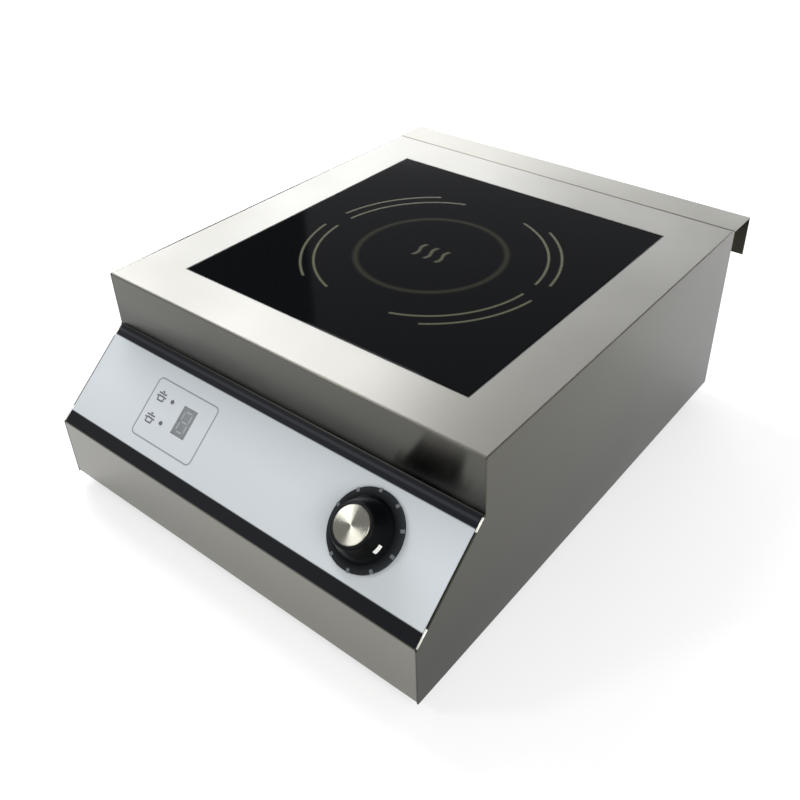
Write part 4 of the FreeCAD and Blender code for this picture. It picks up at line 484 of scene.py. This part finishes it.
# %% [markdown]
# The knob is turned by hand: a gloss moulded skirt and grip, with a spun aluminium disc let into
# its top. The gloss has a faint ripple, like orange peel. The grip is a deep black, and the low
# skirt round it is a dark grey, a painted sheen that stands in for the light its rim reflects.
# Spinning leaves rings in the disc, so light spreads outwards from the centre and shows as a bright
# bow tie. Both materials therefore ask how far, and which way, a point lies from the knob's axis.

# %% Knob
KNOB_AXIS = Vector(knob_joint["pos_m"])


def from_knob_axis(tree, place):
    """The direction and the distance of a place from the knob's axis."""
    outward = add_node(tree, "ShaderNodeVectorMath", {0: place, 1: KNOB_AXIS}, operation="SUBTRACT")
    depth = add_node(tree, "ShaderNodeVectorMath", {0: outward.outputs[0], 1: OUT},
                     operation="DOT_PRODUCT")
    sink = add_node(tree, "ShaderNodeVectorMath", {0: OUT, "Scale": depth.outputs["Value"]},
                    operation="SCALE")
    radial = add_node(tree, "ShaderNodeVectorMath", {0: outward.outputs[0], 1: sink.outputs[0]},
                      operation="SUBTRACT")
    distance = add_node(tree, "ShaderNodeVectorMath", {0: radial.outputs[0]}, operation="LENGTH")
    return radial.outputs[0], distance.outputs["Value"]


# The dark grey on the skirt outside the grip is a painted sheen, standing in for its rim's reflection.
SHEEN_FROM, SHEEN_TO = 24.6 * MM, 30.5 * MM
gloss_black, tree, shader, place = new_material("gloss_moulded_black", Roughness=0.26)
shader.inputs["IOR"].default_value = 1.5
shader.inputs["Specular IOR Level"].default_value = 0.06
peel = add_node(tree, "ShaderNodeTexNoise", {"Vector": place, "Scale": 1 / (1.5 * MM), "Detail": 2.0})
tone = add_node(tree, "ShaderNodeValToRGB", {0: peel.outputs["Fac"]},
                stops=[(0.3, "#050607"), (0.7, "#08090a")])
radial, distance = from_knob_axis(tree, place)
painted_sheen = add_node(tree, "ShaderNodeMapRange", {"Value": distance, "From Min": SHEEN_FROM,
                                                "From Max": SHEEN_TO})
tone = add_node(tree, "ShaderNodeMix", {0: painted_sheen.outputs[0], 6: tone.outputs[0], 7: linear("#25282b")},
                data_type="RGBA")
tree.links.new(tone.outputs[2], shader.inputs["Base Color"])
bump = add_node(tree, "ShaderNodeBump",
                {"Height": peel.outputs["Fac"], "Strength": 0.03, "Distance": 0.05 * MM})
tree.links.new(bump.outputs[0], shader.inputs["Normal"])
finish_parts(gloss_black, "knob_body")

# %% Spun disc of the knob
spun_aluminium, tree, shader, place = new_material("spun_aluminium", Metallic=1.0, Roughness=0.17,
                                                   Anisotropic=1.0)
radial, distance = from_knob_axis(tree, place)
rings = add_node(tree, "ShaderNodeTexNoise", {"W": distance, "Scale": 1 / (0.6 * MM), "Detail": 3.0},
                 noise_dimensions="1D")
# The disc's colour is far darker than aluminium: painted reflection, so the bow tie stands out.
tone = add_node(tree, "ShaderNodeValToRGB", {0: rings.outputs["Fac"]},
                stops=[(0.3, "#66655e"), (0.7, "#74736c")])
tree.links.new(tone.outputs[0], shader.inputs["Base Color"])
tree.links.new(radial, shader.inputs["Tangent"])
finish_parts(spun_aluminium, "knob_cap")

# %% [markdown]
# Most small parts are moulded from plastic or rubber. What the eye reads is the same each time: two
# close tones in a fine grain, and a face that is slightly uneven. One function makes them all, and
# each keeps the colour, gloss and grain of its own stuff.

# %% Moulded plastics and rubbers


def moulded(name, dark, light, roughness, grain, relief, specular=0.3, ior=1.5):
    """Moulded stuff with a fine grain; grain and relief are the size and height of its bumps."""
    material, tree, shader, place = new_material(name)
    shader.inputs["IOR"].default_value = ior
    shader.inputs["Specular IOR Level"].default_value = specular
    speckle = add_node(tree, "ShaderNodeTexNoise", {"Vector": place, "Scale": 1 / grain, "Detail": 3.0})
    tone = add_node(tree, "ShaderNodeValToRGB", {0: speckle.outputs["Fac"]},
                    stops=[(0.3, dark), (0.7, light)])
    tree.links.new(tone.outputs[0], shader.inputs["Base Color"])
    rough = add_node(tree, "ShaderNodeMapRange", {"Value": speckle.outputs["Fac"],
                                                  "To Min": roughness - 0.06,
                                                  "To Max": roughness + 0.06})
    tree.links.new(rough.outputs[0], shader.inputs["Roughness"])
    bump = add_node(tree, "ShaderNodeBump",
                    {"Height": speckle.outputs["Fac"], "Strength": 0.3, "Distance": relief})
    tree.links.new(bump.outputs[0], shader.inputs["Normal"])
    return material


# Rubber of the feet and the gland: dull and dead black, it hardly catches the light.
black_rubber = moulded("moulded_black_rubber", "#131313", "#1c1c1c", 0.70, 0.8 * MM, 0.05 * MM)
# Silicone bead, wiped off wet: smoother than rubber, with a soft shine along its line.
black_silicone = moulded("cast_black_silicone", "#0e0e0f", "#151516", 0.45, 1.2 * MM, 0.02 * MM)
# Nylon with glass fibre: a charcoal satin whose fibres leave the face slightly pimpled.
black_nylon = moulded("glass_filled_black_nylon", "#17181a", "#222326", 0.48, 0.6 * MM, 0.04 * MM)
# Plain nylon of the connectors: a warm, waxy white.
white_nylon = moulded("moulded_white_nylon", "#d3d1c8", "#dedcd4", 0.42, 0.9 * MM, 0.03 * MM)
# Plastic inlay, filled white: the brightest small mark on the knob.
white_inlay = moulded("white_filled_inlay", "#dddcd8", "#ebeae6", 0.40, 0.7 * MM, 0.02 * MM)
# Capacitor cases dipped in polyester: mustard yellow with a soft gloss.
yellow_case = moulded("yellow_polyester_case", "#a98a2e", "#b99a3c", 0.35, 0.9 * MM, 0.02 * MM)
# Fired alumina: chalky off-white, like an unglazed cup.
alumina = moulded("fired_alumina_ceramic", "#dcd8cd", "#e8e5dc", 0.55, 0.5 * MM, 0.02 * MM)
# Pressed and sintered ferrite: the dark grey of dry slate.
ferrite = moulded("sintered_black_ferrite", "#25262a", "#34353a", 0.55, 0.7 * MM, 0.03 * MM)
# Cast acrylic, tinted grey and polished: a flat, glossy mid grey that hides what lies behind.
smoked_window = moulded("smoked_grey_acrylic", "#666a6d", "#707477", 0.22, 6.0 * MM, 0.01 * MM, ior=1.49)
# Moulded lamp lenses: darker than the window, with a pin-sharp glint.
smoked_lens = moulded("smoked_lamp_lens", "#4c4f55", "#5c5f65", 0.20, 0.8 * MM, 0.01 * MM)

# %% Plastic and rubber parts
finish_parts(black_rubber, "rubber_feet", "gland_seal")
finish_parts(black_nylon, "coil_disc", "coil_posts", "digit_display", "pot_body", "left_fan_frame",
             "left_fan_rotor", "right_fan_frame", "right_fan_rotor", "power_transistors",
             "rectifier_bridge", "gland_body", "gland_locknut", "gland_nut")
finish_parts(ferrite, "ferrite_bars", "filter_choke", "supply_transformer")
finish_parts(white_nylon, "board_connectors", "terminal_block")
finish_parts(smoked_lens, "indicator_lenses", "indicator_leds")
finish_parts(black_silicone, "glass_seal")
finish_parts(white_inlay, "knob_pointer")
finish_parts(yellow_case, "film_capacitors")
finish_parts(alumina, "temperature_sensor")
finish_parts(smoked_window, "display_window")

# %% [markdown]
# Screws, brackets and springs are zinc-plated steel, the threaded posts and the shaft are turned
# brass, and the heat sink and coil shield are plain aluminium. Each shows its making in its fine
# marks: a cloudy plating, or tool rings and draw lines.

# %% Small metal parts


def worked_metal(name, dark, light, roughness, mark, stretch=(1, 1, 1)):
    """Bare or plated metal whose marks are mark across, drawn out along an axis by stretch."""
    material, tree, shader, place = new_material(name, Metallic=1.0)
    drawn = add_node(tree, "ShaderNodeMapping",
                     {"Vector": place, "Scale": [1 / (mark * s) for s in stretch]})
    marks = add_node(tree, "ShaderNodeTexNoise",
                     {"Vector": drawn.outputs[0], "Scale": 1.0, "Detail": 4.0})
    tone = add_node(tree, "ShaderNodeValToRGB", {0: marks.outputs["Fac"]},
                    stops=[(0.3, dark), (0.7, light)])
    tree.links.new(tone.outputs[0], shader.inputs["Base Color"])
    rough = add_node(tree, "ShaderNodeMapRange", {"Value": marks.outputs["Fac"],
                                                  "To Min": roughness - 0.08,
                                                  "To Max": roughness + 0.08})
    tree.links.new(rough.outputs[0], shader.inputs["Roughness"])
    bump = add_node(tree, "ShaderNodeBump",
                    {"Height": marks.outputs["Fac"], "Strength": 0.2, "Distance": 0.02 * MM})
    tree.links.new(bump.outputs[0], shader.inputs["Normal"])
    return material


# Zinc plating: a cool grey with cloudy patches a few millimetres wide.
zinc_plate = worked_metal("zinc_plated_steel", "#8d9093", "#a7a9aa", 0.34, 2.5 * MM)
# Turned brass: warm yellow, with the lathe's fine rings stacked along its height.
turned_brass = worked_metal("turned_brass", "#a98b4e", "#bea062", 0.30, 0.4 * MM, (8, 8, 1))
# Extruded aluminium: pale, with long straight lines from the die.
plain_aluminium = worked_metal("extruded_aluminium", "#9c9d9f", "#b3b4b5", 0.38, 0.5 * MM, (40, 1, 1))
finish_parts(zinc_plate, "base_screws", "rear_screws", "foot_screws", "fan_screws", "board_screws",
             "display_studs", "glass_support_frame", "coil_straps", "sensor_spring", "knob_clip",
             "pot_washer")
finish_parts(turned_brass, "pot_shaft", "pot_nut", "board_standoffs", "earth_stud")
finish_parts(plain_aluminium, "coil_shield", "heat_sink")

# %% [markdown]
# The coil is wound from litz wire, many thin varnished strands twisted together, so each turn
# shows slanting copper stripes with a varnished gleam. The mica sheet above it is pressed from pale
# flakes, which give it a mottled, parchment-like face. The stripes follow the angle and the radius
# round the coil's middle, so the one pattern serves every turn.

# %% Litz coil
coil_low, coil_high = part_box("coil_disc")
COIL_CENTRE = (coil_low + coil_high) / 2
litz_copper, tree, shader, place = new_material("varnished_litz_copper", Metallic=1.0, Roughness=0.35)
centred = add_node(tree, "ShaderNodeVectorMath", {0: place, 1: COIL_CENTRE}, operation="SUBTRACT")
parts = add_node(tree, "ShaderNodeSeparateXYZ", {0: centred.outputs[0]})
angle = add_node(tree, "ShaderNodeMath", {0: parts.outputs["Y"], 1: parts.outputs["X"]},
                 operation="ARCTAN2")
radius = add_node(tree, "ShaderNodeVectorMath", {0: centred.outputs[0]}, operation="LENGTH")
STRIPES_ROUND, STRIPE_PITCH = 180.0, 3 * MM
around = add_node(tree, "ShaderNodeMath", {0: angle.outputs[0], 1: STRIPES_ROUND}, operation="MULTIPLY")
lay = add_node(tree, "ShaderNodeMath", {0: radius.outputs["Value"], 1: 2 * math.pi / STRIPE_PITCH,
                                        2: around.outputs[0]}, operation="MULTIPLY_ADD")
strand = add_node(tree, "ShaderNodeMath", {0: lay.outputs[0]}, operation="SINE")
strand = add_node(tree, "ShaderNodeMapRange", {"Value": strand.outputs[0], "From Min": -1.0})
tone = add_node(tree, "ShaderNodeValToRGB", {0: strand.outputs[0]},
                stops=[(0.1, "#6f3c22"), (0.8, "#b5703f")])
tree.links.new(tone.outputs[0], shader.inputs["Base Color"])
bump = add_node(tree, "ShaderNodeBump",
                {"Height": strand.outputs[0], "Strength": 0.5, "Distance": 0.2 * MM})
tree.links.new(bump.outputs[0], shader.inputs["Normal"])
finish_parts(litz_copper, "coil_winding")

# %% Mica sheet
mica_paper, tree, shader, place = new_material("pressed_mica_paper", Roughness=0.45)
flakes = add_node(tree, "ShaderNodeTexVoronoi", {"Vector": place, "Scale": 1 / (3 * MM)})
tone = add_node(tree, "ShaderNodeValToRGB", {0: flakes.outputs["Distance"]},
                stops=[(0.1, "#c9bfa4"), (0.8, "#ab9f83")])
tree.links.new(tone.outputs[0], shader.inputs["Base Color"])
bump = add_node(tree, "ShaderNodeBump",
                {"Height": flakes.outputs["Distance"], "Strength": 0.3, "Distance": 0.05 * MM})
tree.links.new(bump.outputs[0], shader.inputs["Normal"])
finish_parts(mica_paper, "mica_sheet")

# %% [markdown]
# The circuit boards are glass-fibre sheet under a green solder mask, through which the copper
# tracks show as a lighter, slightly raised net. The display board leans with the panel, so its
# pattern is turned by the same angle. The leads between them are wires in coloured silicone, one
# colour to each, with a dusty bloom. One material picks a colour for each separate lead.

# %% Circuit boards
TRACK_GRID = 4 * MM


def solder_mask(name, lean):
    """Green masked board with tracks every few millimetres, turned by lean about the width."""
    material, tree, shader, place = new_material(name, Roughness=0.35)
    turned = add_node(tree, "ShaderNodeMapping", {"Vector": place, "Rotation": (-lean, 0, 0)})
    tracks = add_node(tree, "ShaderNodeTexBrick", {"Vector": turned.outputs[0], "Scale": 1 / TRACK_GRID,
                                                   "Mortar Size": 0.06, "Brick Width": 2.3,
                                                   "Row Height": 0.6})
    tone = add_node(tree, "ShaderNodeValToRGB", {0: tracks.outputs["Fac"]},
                    stops=[(0.0, "#14462a"), (1.0, "#2f6b42")])
    tree.links.new(tone.outputs[0], shader.inputs["Base Color"])
    bump = add_node(tree, "ShaderNodeBump",
                    {"Height": tracks.outputs["Fac"], "Strength": 0.4, "Distance": 0.05 * MM})
    tree.links.new(bump.outputs[0], shader.inputs["Normal"])
    return material


finish_parts(solder_mask("power_board_solder_mask", 0.0), "power_board")
finish_parts(solder_mask("display_board_solder_mask", LEAN), "display_board")

# %% Leads
wire_jacket, tree, shader, place = new_material("silicone_wire_jackets", Roughness=0.5)
each = add_node(tree, "ShaderNodeNewGeometry").outputs["Random Per Island"]
hue = add_node(tree, "ShaderNodeValToRGB", {0: each}, stops=[
    (0.0, "#6b4a32"), (1.0, "#b9b8b2"), (0.25, "#2f5a96"), (0.5, "#5c8a3a"), (0.75, "#a83a30")])
hue.color_ramp.interpolation = "CONSTANT"
dust = add_node(tree, "ShaderNodeTexNoise", {"Vector": place, "Scale": 1 / (1.5 * MM), "Detail": 2.0})
shade = add_node(tree, "ShaderNodeMapRange", {"Value": dust.outputs["Fac"], "To Min": 0.9, "To Max": 1.1})
tone = add_node(tree, "ShaderNodeVectorMath", {0: hue.outputs[0], 1: shade.outputs[0]},
                operation="MULTIPLY")
tree.links.new(tone.outputs[0], shader.inputs["Base Color"])
finish_parts(wire_jacket, "coil_leads", "mains_leads", "signal_leads")

# %% [markdown]
# Printing on the panel. A thin rounded frame groups the digit window, two signal lamps and two
# small pan signs. Ink stands a few hundredths of a millimetre proud, so each mark is modelled as a
# thin raised film: a flat outline is shaped first and then given its thickness. What repeats is
# shaped once and copied, and pieces of one print are joined.

# %% Helpers for modelling
INK = 0.05 * MM  # thickness of the print


def start_edit(piece):
    """Selects one piece alone and opens it in edit mode with everything selected."""
    bpy.ops.object.select_all(action="DESELECT")
    piece.select_set(True)
    bpy.context.view_layer.objects.active = piece
    bpy.ops.object.mode_set(mode="EDIT")
    bpy.ops.mesh.select_all(action="SELECT")


def settle(piece, name, material, body):
    """Finishes a piece: place into its mesh, name, material, body and slot."""
    bpy.ops.object.select_all(action="DESELECT")
    piece.select_set(True)
    bpy.context.view_layer.objects.active = piece
    bpy.ops.object.transform_apply(location=True, rotation=True, scale=True)
    piece.name = name
    piece.data.materials.clear()
    piece.data.materials.append(material)
    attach(piece, body)
    print(name, "faces:", len(piece.data.polygons))


def copy_of(piece, placing):
    """A copy with its own mesh, placed by a matrix."""
    twin = piece.copy()
    twin.data = piece.data.copy()
    bpy.context.scene.collection.objects.link(twin)
    twin.matrix_world = placing
    return twin


def join(pieces):
    """Joins pieces into the first of them."""
    bpy.ops.object.select_all(action="DESELECT")
    for piece in pieces:
        piece.select_set(True)
    bpy.context.view_layer.objects.active = pieces[0]
    bpy.ops.object.join()
    return pieces[0]


def thicken(up):
    """Gives the flat outline that is open in edit mode the ink's thickness along up, and closes it."""
    bpy.ops.mesh.select_all(action="SELECT")
    bpy.ops.mesh.extrude_region_move(TRANSFORM_OT_translate={"value": up * INK})
    bpy.ops.mesh.select_all(action="SELECT")
    bpy.ops.mesh.normals_make_consistent(inside=False)
    bpy.ops.object.mode_set(mode="OBJECT")


def flat_outline(x, down, width, height):
    """A flat rectangle on the panel, open in edit mode, centred x across and down from the top."""
    bpy.ops.object.select_all(action="DESELECT")
    bpy.ops.mesh.primitive_plane_add(size=1.0, location=on_panel(x, down), rotation=(LEAN, 0, 0))
    piece = bpy.context.object
    piece.scale = (width, height, 1)
    bpy.ops.object.transform_apply(location=False, rotation=False, scale=True)
    start_edit(piece)
    return piece


# %% Inks
# Screen-printed ink dries flat and dull: a pale one for the frame, a darker one for the signs.
frame_ink = moulded("pale_screen_print_ink", "#7b7f86", "#858990", 0.45, 0.4 * MM, 0.01 * MM)
printed_ink = moulded("grey_screen_print_ink", "#54575c", "#5f6267", 0.45, 0.4 * MM, 0.01 * MM)

# %% [markdown]
# The frame is a line 1.3 mm wide with round corners. A rectangle has its corners rounded by a
# bevel, an inset leaves the line as a rim, and the inner face is taken out.

# %% Frame round the display
window_low, window_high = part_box("display_window")
WINDOW_X = (window_low.x + window_high.x) / 2
WINDOW_DOWN = FILM_TOP - ((window_low + window_high) / 2).dot(UP_SLOPE)
FRAME_X, FRAME_DOWN = WINDOW_X - 10.4 * MM, WINDOW_DOWN + 2.0 * MM
FRAME_WIDTH, FRAME_HEIGHT, FRAME_CORNER, FRAME_LINE = 74.6 * MM, 53 * MM, 5 * MM, 1.3 * MM
frame_line = flat_outline(FRAME_X, FRAME_DOWN, FRAME_WIDTH, FRAME_HEIGHT)
bpy.ops.mesh.bevel(offset=FRAME_CORNER, segments=6, affect="VERTICES")
bpy.ops.mesh.select_all(action="SELECT")
bpy.ops.mesh.inset(thickness=FRAME_LINE)
bpy.ops.mesh.delete(type="FACE")
thicken(OUT)
settle(frame_line, "panel_display_frame", frame_ink, "housing")

# %% [markdown]
# Beside each lamp stands a small pan: a body in outline, a lid line, a knob on the lid and two
# handles. The body is made like the frame, and the other four are plain bars that are joined to it.
# The lower sign is a copy, moved down the slope.

# %% Pan signs
lens_low, lens_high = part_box("indicator_lenses")
SIGN_X = (lens_low.x + lens_high.x) / 2 - 13.6 * MM
SIGN_DOWN, SIGN_PITCH, SIGN_LINE = WINDOW_DOWN - 9.2 * MM, 20 * MM, 1.4 * MM
PAN_WIDTH, PAN_HEIGHT, PAN_CORNER, BAR_CORNER = 8.0 * MM, 5.4 * MM, 1.2 * MM, 0.25 * MM
pan = flat_outline(SIGN_X, SIGN_DOWN + SIGN_LINE, PAN_WIDTH, PAN_HEIGHT)
bpy.ops.mesh.bevel(offset=PAN_CORNER, segments=3, affect="VERTICES")
bpy.ops.mesh.select_all(action="SELECT")
bpy.ops.mesh.inset(thickness=SIGN_LINE)
bpy.ops.mesh.delete(type="FACE")
thicken(OUT)
sign_parts = [pan]
lid, lid_knob = (0, -2.9 * MM, 9.4 * MM), (0, -4.6 * MM, 2.8 * MM)
handles = [(side * 4.9 * MM, -0.2 * MM, 1.6 * MM) for side in (-1, 1)]
for across, below, width in (lid, lid_knob, *handles):
    sign_parts.append(flat_outline(SIGN_X + across, SIGN_DOWN + below, width, SIGN_LINE))
    bpy.ops.mesh.bevel(offset=BAR_CORNER, segments=2, affect="VERTICES")
    thicken(OUT)
upper_sign = join(sign_parts)
lower_sign = copy_of(upper_sign, Matrix.Translation(-UP_SLOPE * SIGN_PITCH) @ upper_sign.matrix_world)
settle(upper_sign, "panel_pan_sign_upper", printed_ink, "housing")
settle(lower_sign, "panel_pan_sign_lower", printed_ink, "housing")

# %% [markdown]
# The figure behind the grey window is unlit, so its seven bars only just show. One bar is shaped
# from a six-sided outline, squeezed until it is slim and has pointed ends. Its copies are laid on
# the window, upright or level, and joined.

# %% Seven-bar figure
# Unlit bars seen through the tint: a little lighter than the window, with the same gloss.
segment_ink = moulded("unlit_segment_grey", "#83878a", "#8d9194", 0.30, 0.8 * MM, 0.01 * MM)
BAR_LENGTH, BAR_WIDTH_SHARE, HALF = 8.0 * MM, 0.22, 4.4 * MM
level_bars = [(0, down, 0) for down in (-2 * HALF, 0, 2 * HALF)]
upright_bars = [(across, down, 90) for down in (-HALF, HALF) for across in (-HALF, HALF)]
bpy.ops.object.select_all(action="DESELECT")
bpy.ops.mesh.primitive_circle_add(vertices=6, radius=BAR_LENGTH / 2, fill_type="NGON", location=(0, 0, 0))
first_bar = bpy.context.object
first_bar.scale = (BAR_WIDTH_SHARE, 1.0, 1.0)
bpy.ops.object.transform_apply(location=False, rotation=False, scale=True)
start_edit(first_bar)
thicken(Vector((0, 0, 1)))
figure = []
for across, down, turn in level_bars + upright_bars:
    place = on_panel(WINDOW_X + across, WINDOW_DOWN + down, WINDOW_FACE - FILM_FACE)
    lying = Matrix.Rotation(LEAN, 4, "X") @ Matrix.Rotation(math.radians(turn + 90), 4, "Z")
    figure.append(copy_of(first_bar, Matrix.Translation(place) @ lying))
bpy.data.objects.remove(first_bar)
settle(join(figure), "display_figure_bars", segment_ink, "housing")

# %% [markdown]
# The knob's skirt carries a dial of short grey marks, one every 36 degrees with a gap at the stop.
# The skirt falls away like a shallow cone, so the first mark is laid on that cone and its copies
# are swung round the knob's axis.

# %% Dial marks on the knob
knob_points = [v.co - KNOB_AXIS for v in NODES["knob_body"].data.vertices]
knob_rings = [((point - OUT * point.dot(OUT)).length, (point + KNOB_AXIS).dot(OUT))
              for point in knob_points]  # radius and level of each point
SKIRT_RADIUS = max(radius for radius, level in knob_rings)
RIM_TOP = max(level for radius, level in knob_rings if radius > SKIRT_RADIUS - 0.1 * MM)
above_rim = [ring for ring in knob_rings if RIM_TOP + 0.5 * MM < ring[1] < RIM_TOP + 4 * MM]
GRIP_FOOT, FOOT_LEVEL = max(above_rim)
fall = math.atan2(FOOT_LEVEL - RIM_TOP, SKIRT_RADIUS - GRIP_FOOT)
print("skirt radius, grip foot in mm:", round(SKIRT_RADIUS / MM, 2), round(GRIP_FOOT / MM, 2),
      "fall:", round(math.degrees(fall), 1))

# %% One dial mark
MARK_RADIUS = (SKIRT_RADIUS + GRIP_FOOT) / 2
MARK_LENGTH, MARK_WIDTH, MARK_CORNER = 3.4 * MM, 2.6 * MM, 0.4 * MM
ABOVE_SKIRT = 0.06 * MM
mark_level = (RIM_TOP + FOOT_LEVEL) / 2 - KNOB_AXIS.dot(OUT) + ABOVE_SKIRT
skirt_out = Matrix.Rotation(fall, 3, UP_SLOPE) @ OUT
bpy.ops.object.select_all(action="DESELECT")
bpy.ops.mesh.primitive_plane_add(size=1.0, location=(0, 0, 0))
first_mark = bpy.context.object
first_mark.scale = (MARK_LENGTH, MARK_WIDTH, 1)
bpy.ops.object.transform_apply(location=False, rotation=False, scale=True)
start_edit(first_mark)
bpy.ops.mesh.bevel(offset=MARK_CORNER, segments=2, affect="VERTICES")
thicken(Vector((0, 0, 1)))
lying = Matrix((UP_SLOPE.cross(skirt_out), UP_SLOPE, skirt_out)).transposed().to_4x4()
place = KNOB_AXIS + ACROSS * MARK_RADIUS + OUT * mark_level
first_mark.matrix_world = Matrix.Translation(place) @ lying

# %% The other marks, swung round the knob
MARK_COUNT, MARK_STEP, FIRST_MARK = 9, 36, -120
dial_marks = []
for step in range(MARK_COUNT):
    swing = Matrix.Rotation(math.radians(FIRST_MARK + MARK_STEP * step), 4, OUT)
    swing = Matrix.Translation(KNOB_AXIS) @ swing @ Matrix.Translation(-KNOB_AXIS)
    dial_marks.append(copy_of(first_mark, swing @ first_mark.matrix_world))
bpy.data.objects.remove(first_mark)
# Pad-printed dial ink: a dull mid grey that only just stands out from the black skirt.
dial_ink = moulded("grey_dial_ink", "#55595c", "#5f6366", 0.45, 0.4 * MM, 0.01 * MM)
settle(join(dial_marks), "knob_dial_marks", dial_ink, "control_knob")

# %% [markdown]
# The upright corners of the casing are welded along their whole length and brushed over, so their
# seams are closed and take the tone of the steel beside them. Each end of the slope is only tacked,
# at its head and its foot, and these short welds stay bright. A ball drawn out along the edge and
# pressed flat gives a weld its soft round ends. Bare weld metal is paler and rougher than the
# sheet, so a tack catches the light as a small bright line.

# %% Weld metal
ground_weld, tree, shader, place = new_material("ground_weld_bead", Metallic=1.0)
ripple = add_node(tree, "ShaderNodeTexNoise", {"Vector": place, "Scale": 1 / (1.5 * MM), "Detail": 3.0})
tone = add_node(tree, "ShaderNodeValToRGB", {0: ripple.outputs["Fac"]},
                stops=[(0.3, "#a3a29c"), (0.7, "#bab9b3")])
tree.links.new(tone.outputs[0], shader.inputs["Base Color"])
rough = add_node(tree, "ShaderNodeMapRange",
                 {"Value": ripple.outputs["Fac"], "To Min": 0.26, "To Max": 0.40})
tree.links.new(rough.outputs[0], shader.inputs["Roughness"])
bump = add_node(tree, "ShaderNodeBump",
                {"Height": ripple.outputs["Fac"], "Strength": 0.3, "Distance": 0.05 * MM})
tree.links.new(bump.outputs[0], shader.inputs["Normal"])

# %% One weld and its twin


def weld_bead(name, start, end, up, width, height, material):
    """A ball drawn out from start to end and pressed flat, its back towards up, and its twin.

    The right-hand bead is shaped, and the left-hand one is its copy on the other side.
    """
    along = end - start
    bpy.ops.object.select_all(action="DESELECT")
    bpy.ops.mesh.primitive_uv_sphere_add(segments=16, ring_count=11, radius=width / 2)
    bead = bpy.context.object
    start_edit(bead)
    bpy.ops.transform.resize(value=(1, 2 * height / width, 1))
    for side in (-1, 1):
        bpy.ops.mesh.select_all(action="DESELECT")
        bpy.ops.object.mode_set(mode="OBJECT")
        for vertex in bead.data.vertices:
            vertex.select = vertex.co.z * side > 0
        bpy.ops.object.mode_set(mode="EDIT")
        bpy.ops.transform.translate(value=(0, 0, side * (along.length - width) / 2))
    bpy.ops.object.mode_set(mode="OBJECT")
    along.normalize()
    turn = Matrix((up.cross(along), up, along)).transposed().to_4x4()
    bead.matrix_world = Matrix.Translation((start + end) / 2) @ turn
    bpy.ops.object.shade_smooth()
    twin = copy_of(bead, bead.matrix_world)
    twin.location.x = -bead.location.x
    settle(bead, f"{name}_right", material, "housing")
    settle(twin, f"{name}_left", material, "housing")


# %% Tacks at the head and foot of the slope
SHEET = 1.2 * MM
SIDE_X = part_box("right_side_panel")[1].x
EDGE_X = SIDE_X - 1.0 * MM
BELOW_FILM = -0.8 * MM
HEAD_TACK, FOOT_TACK, TACK_WIDTH, TACK_HEIGHT = 12 * MM, 15 * MM, 1.9 * MM, 0.5 * MM
for end_name, lower, upper in (("head", HEAD_TACK, 0.0), ("foot", FILM_HEIGHT, FILM_HEIGHT - FOOT_TACK)):
    foot, head = on_panel(EDGE_X, lower, BELOW_FILM), on_panel(EDGE_X, upper, BELOW_FILM)
    weld_bead(f"slope_{end_name}_weld", foot, head, OUT, TACK_WIDTH, TACK_HEIGHT, ground_weld)

# %% Welded upright corners
SEAM_X = (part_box("top_cover")[1].x + SIDE_X - SHEET) / 2
BEAD_WIDTH, BEAD_HEIGHT, BEHIND_FACE = 1.0 * MM, 0.5 * MM, 0.51 * MM
cover = [v.co for v in NODES["top_cover"].data.vertices]
corners = [("fascia", 132 * MM, 179.5 * MM, side_steel), ("front", 12.5 * MM, 66 * MM, folded_steel)]
for face, bottom, top, steel in corners:
    face_y = min(point.y for point in cover if bottom - 0.5 * MM < point.z < top + 0.5 * MM)
    foot, head = [Vector((SEAM_X, face_y + BEHIND_FACE, z)) for z in (bottom, top)]
    weld_bead(f"{face}_corner_weld", foot, head, Vector((0, -1, 0)), BEAD_WIDTH, BEAD_HEIGHT, steel)
    print(face, "face at y in mm:", round(face_y / MM, 2))

# %% [markdown]
# Colours go to the screen as they are, without a film curve.

# %% Finish
bpy.context.scene.view_settings.view_transform = "Standard"
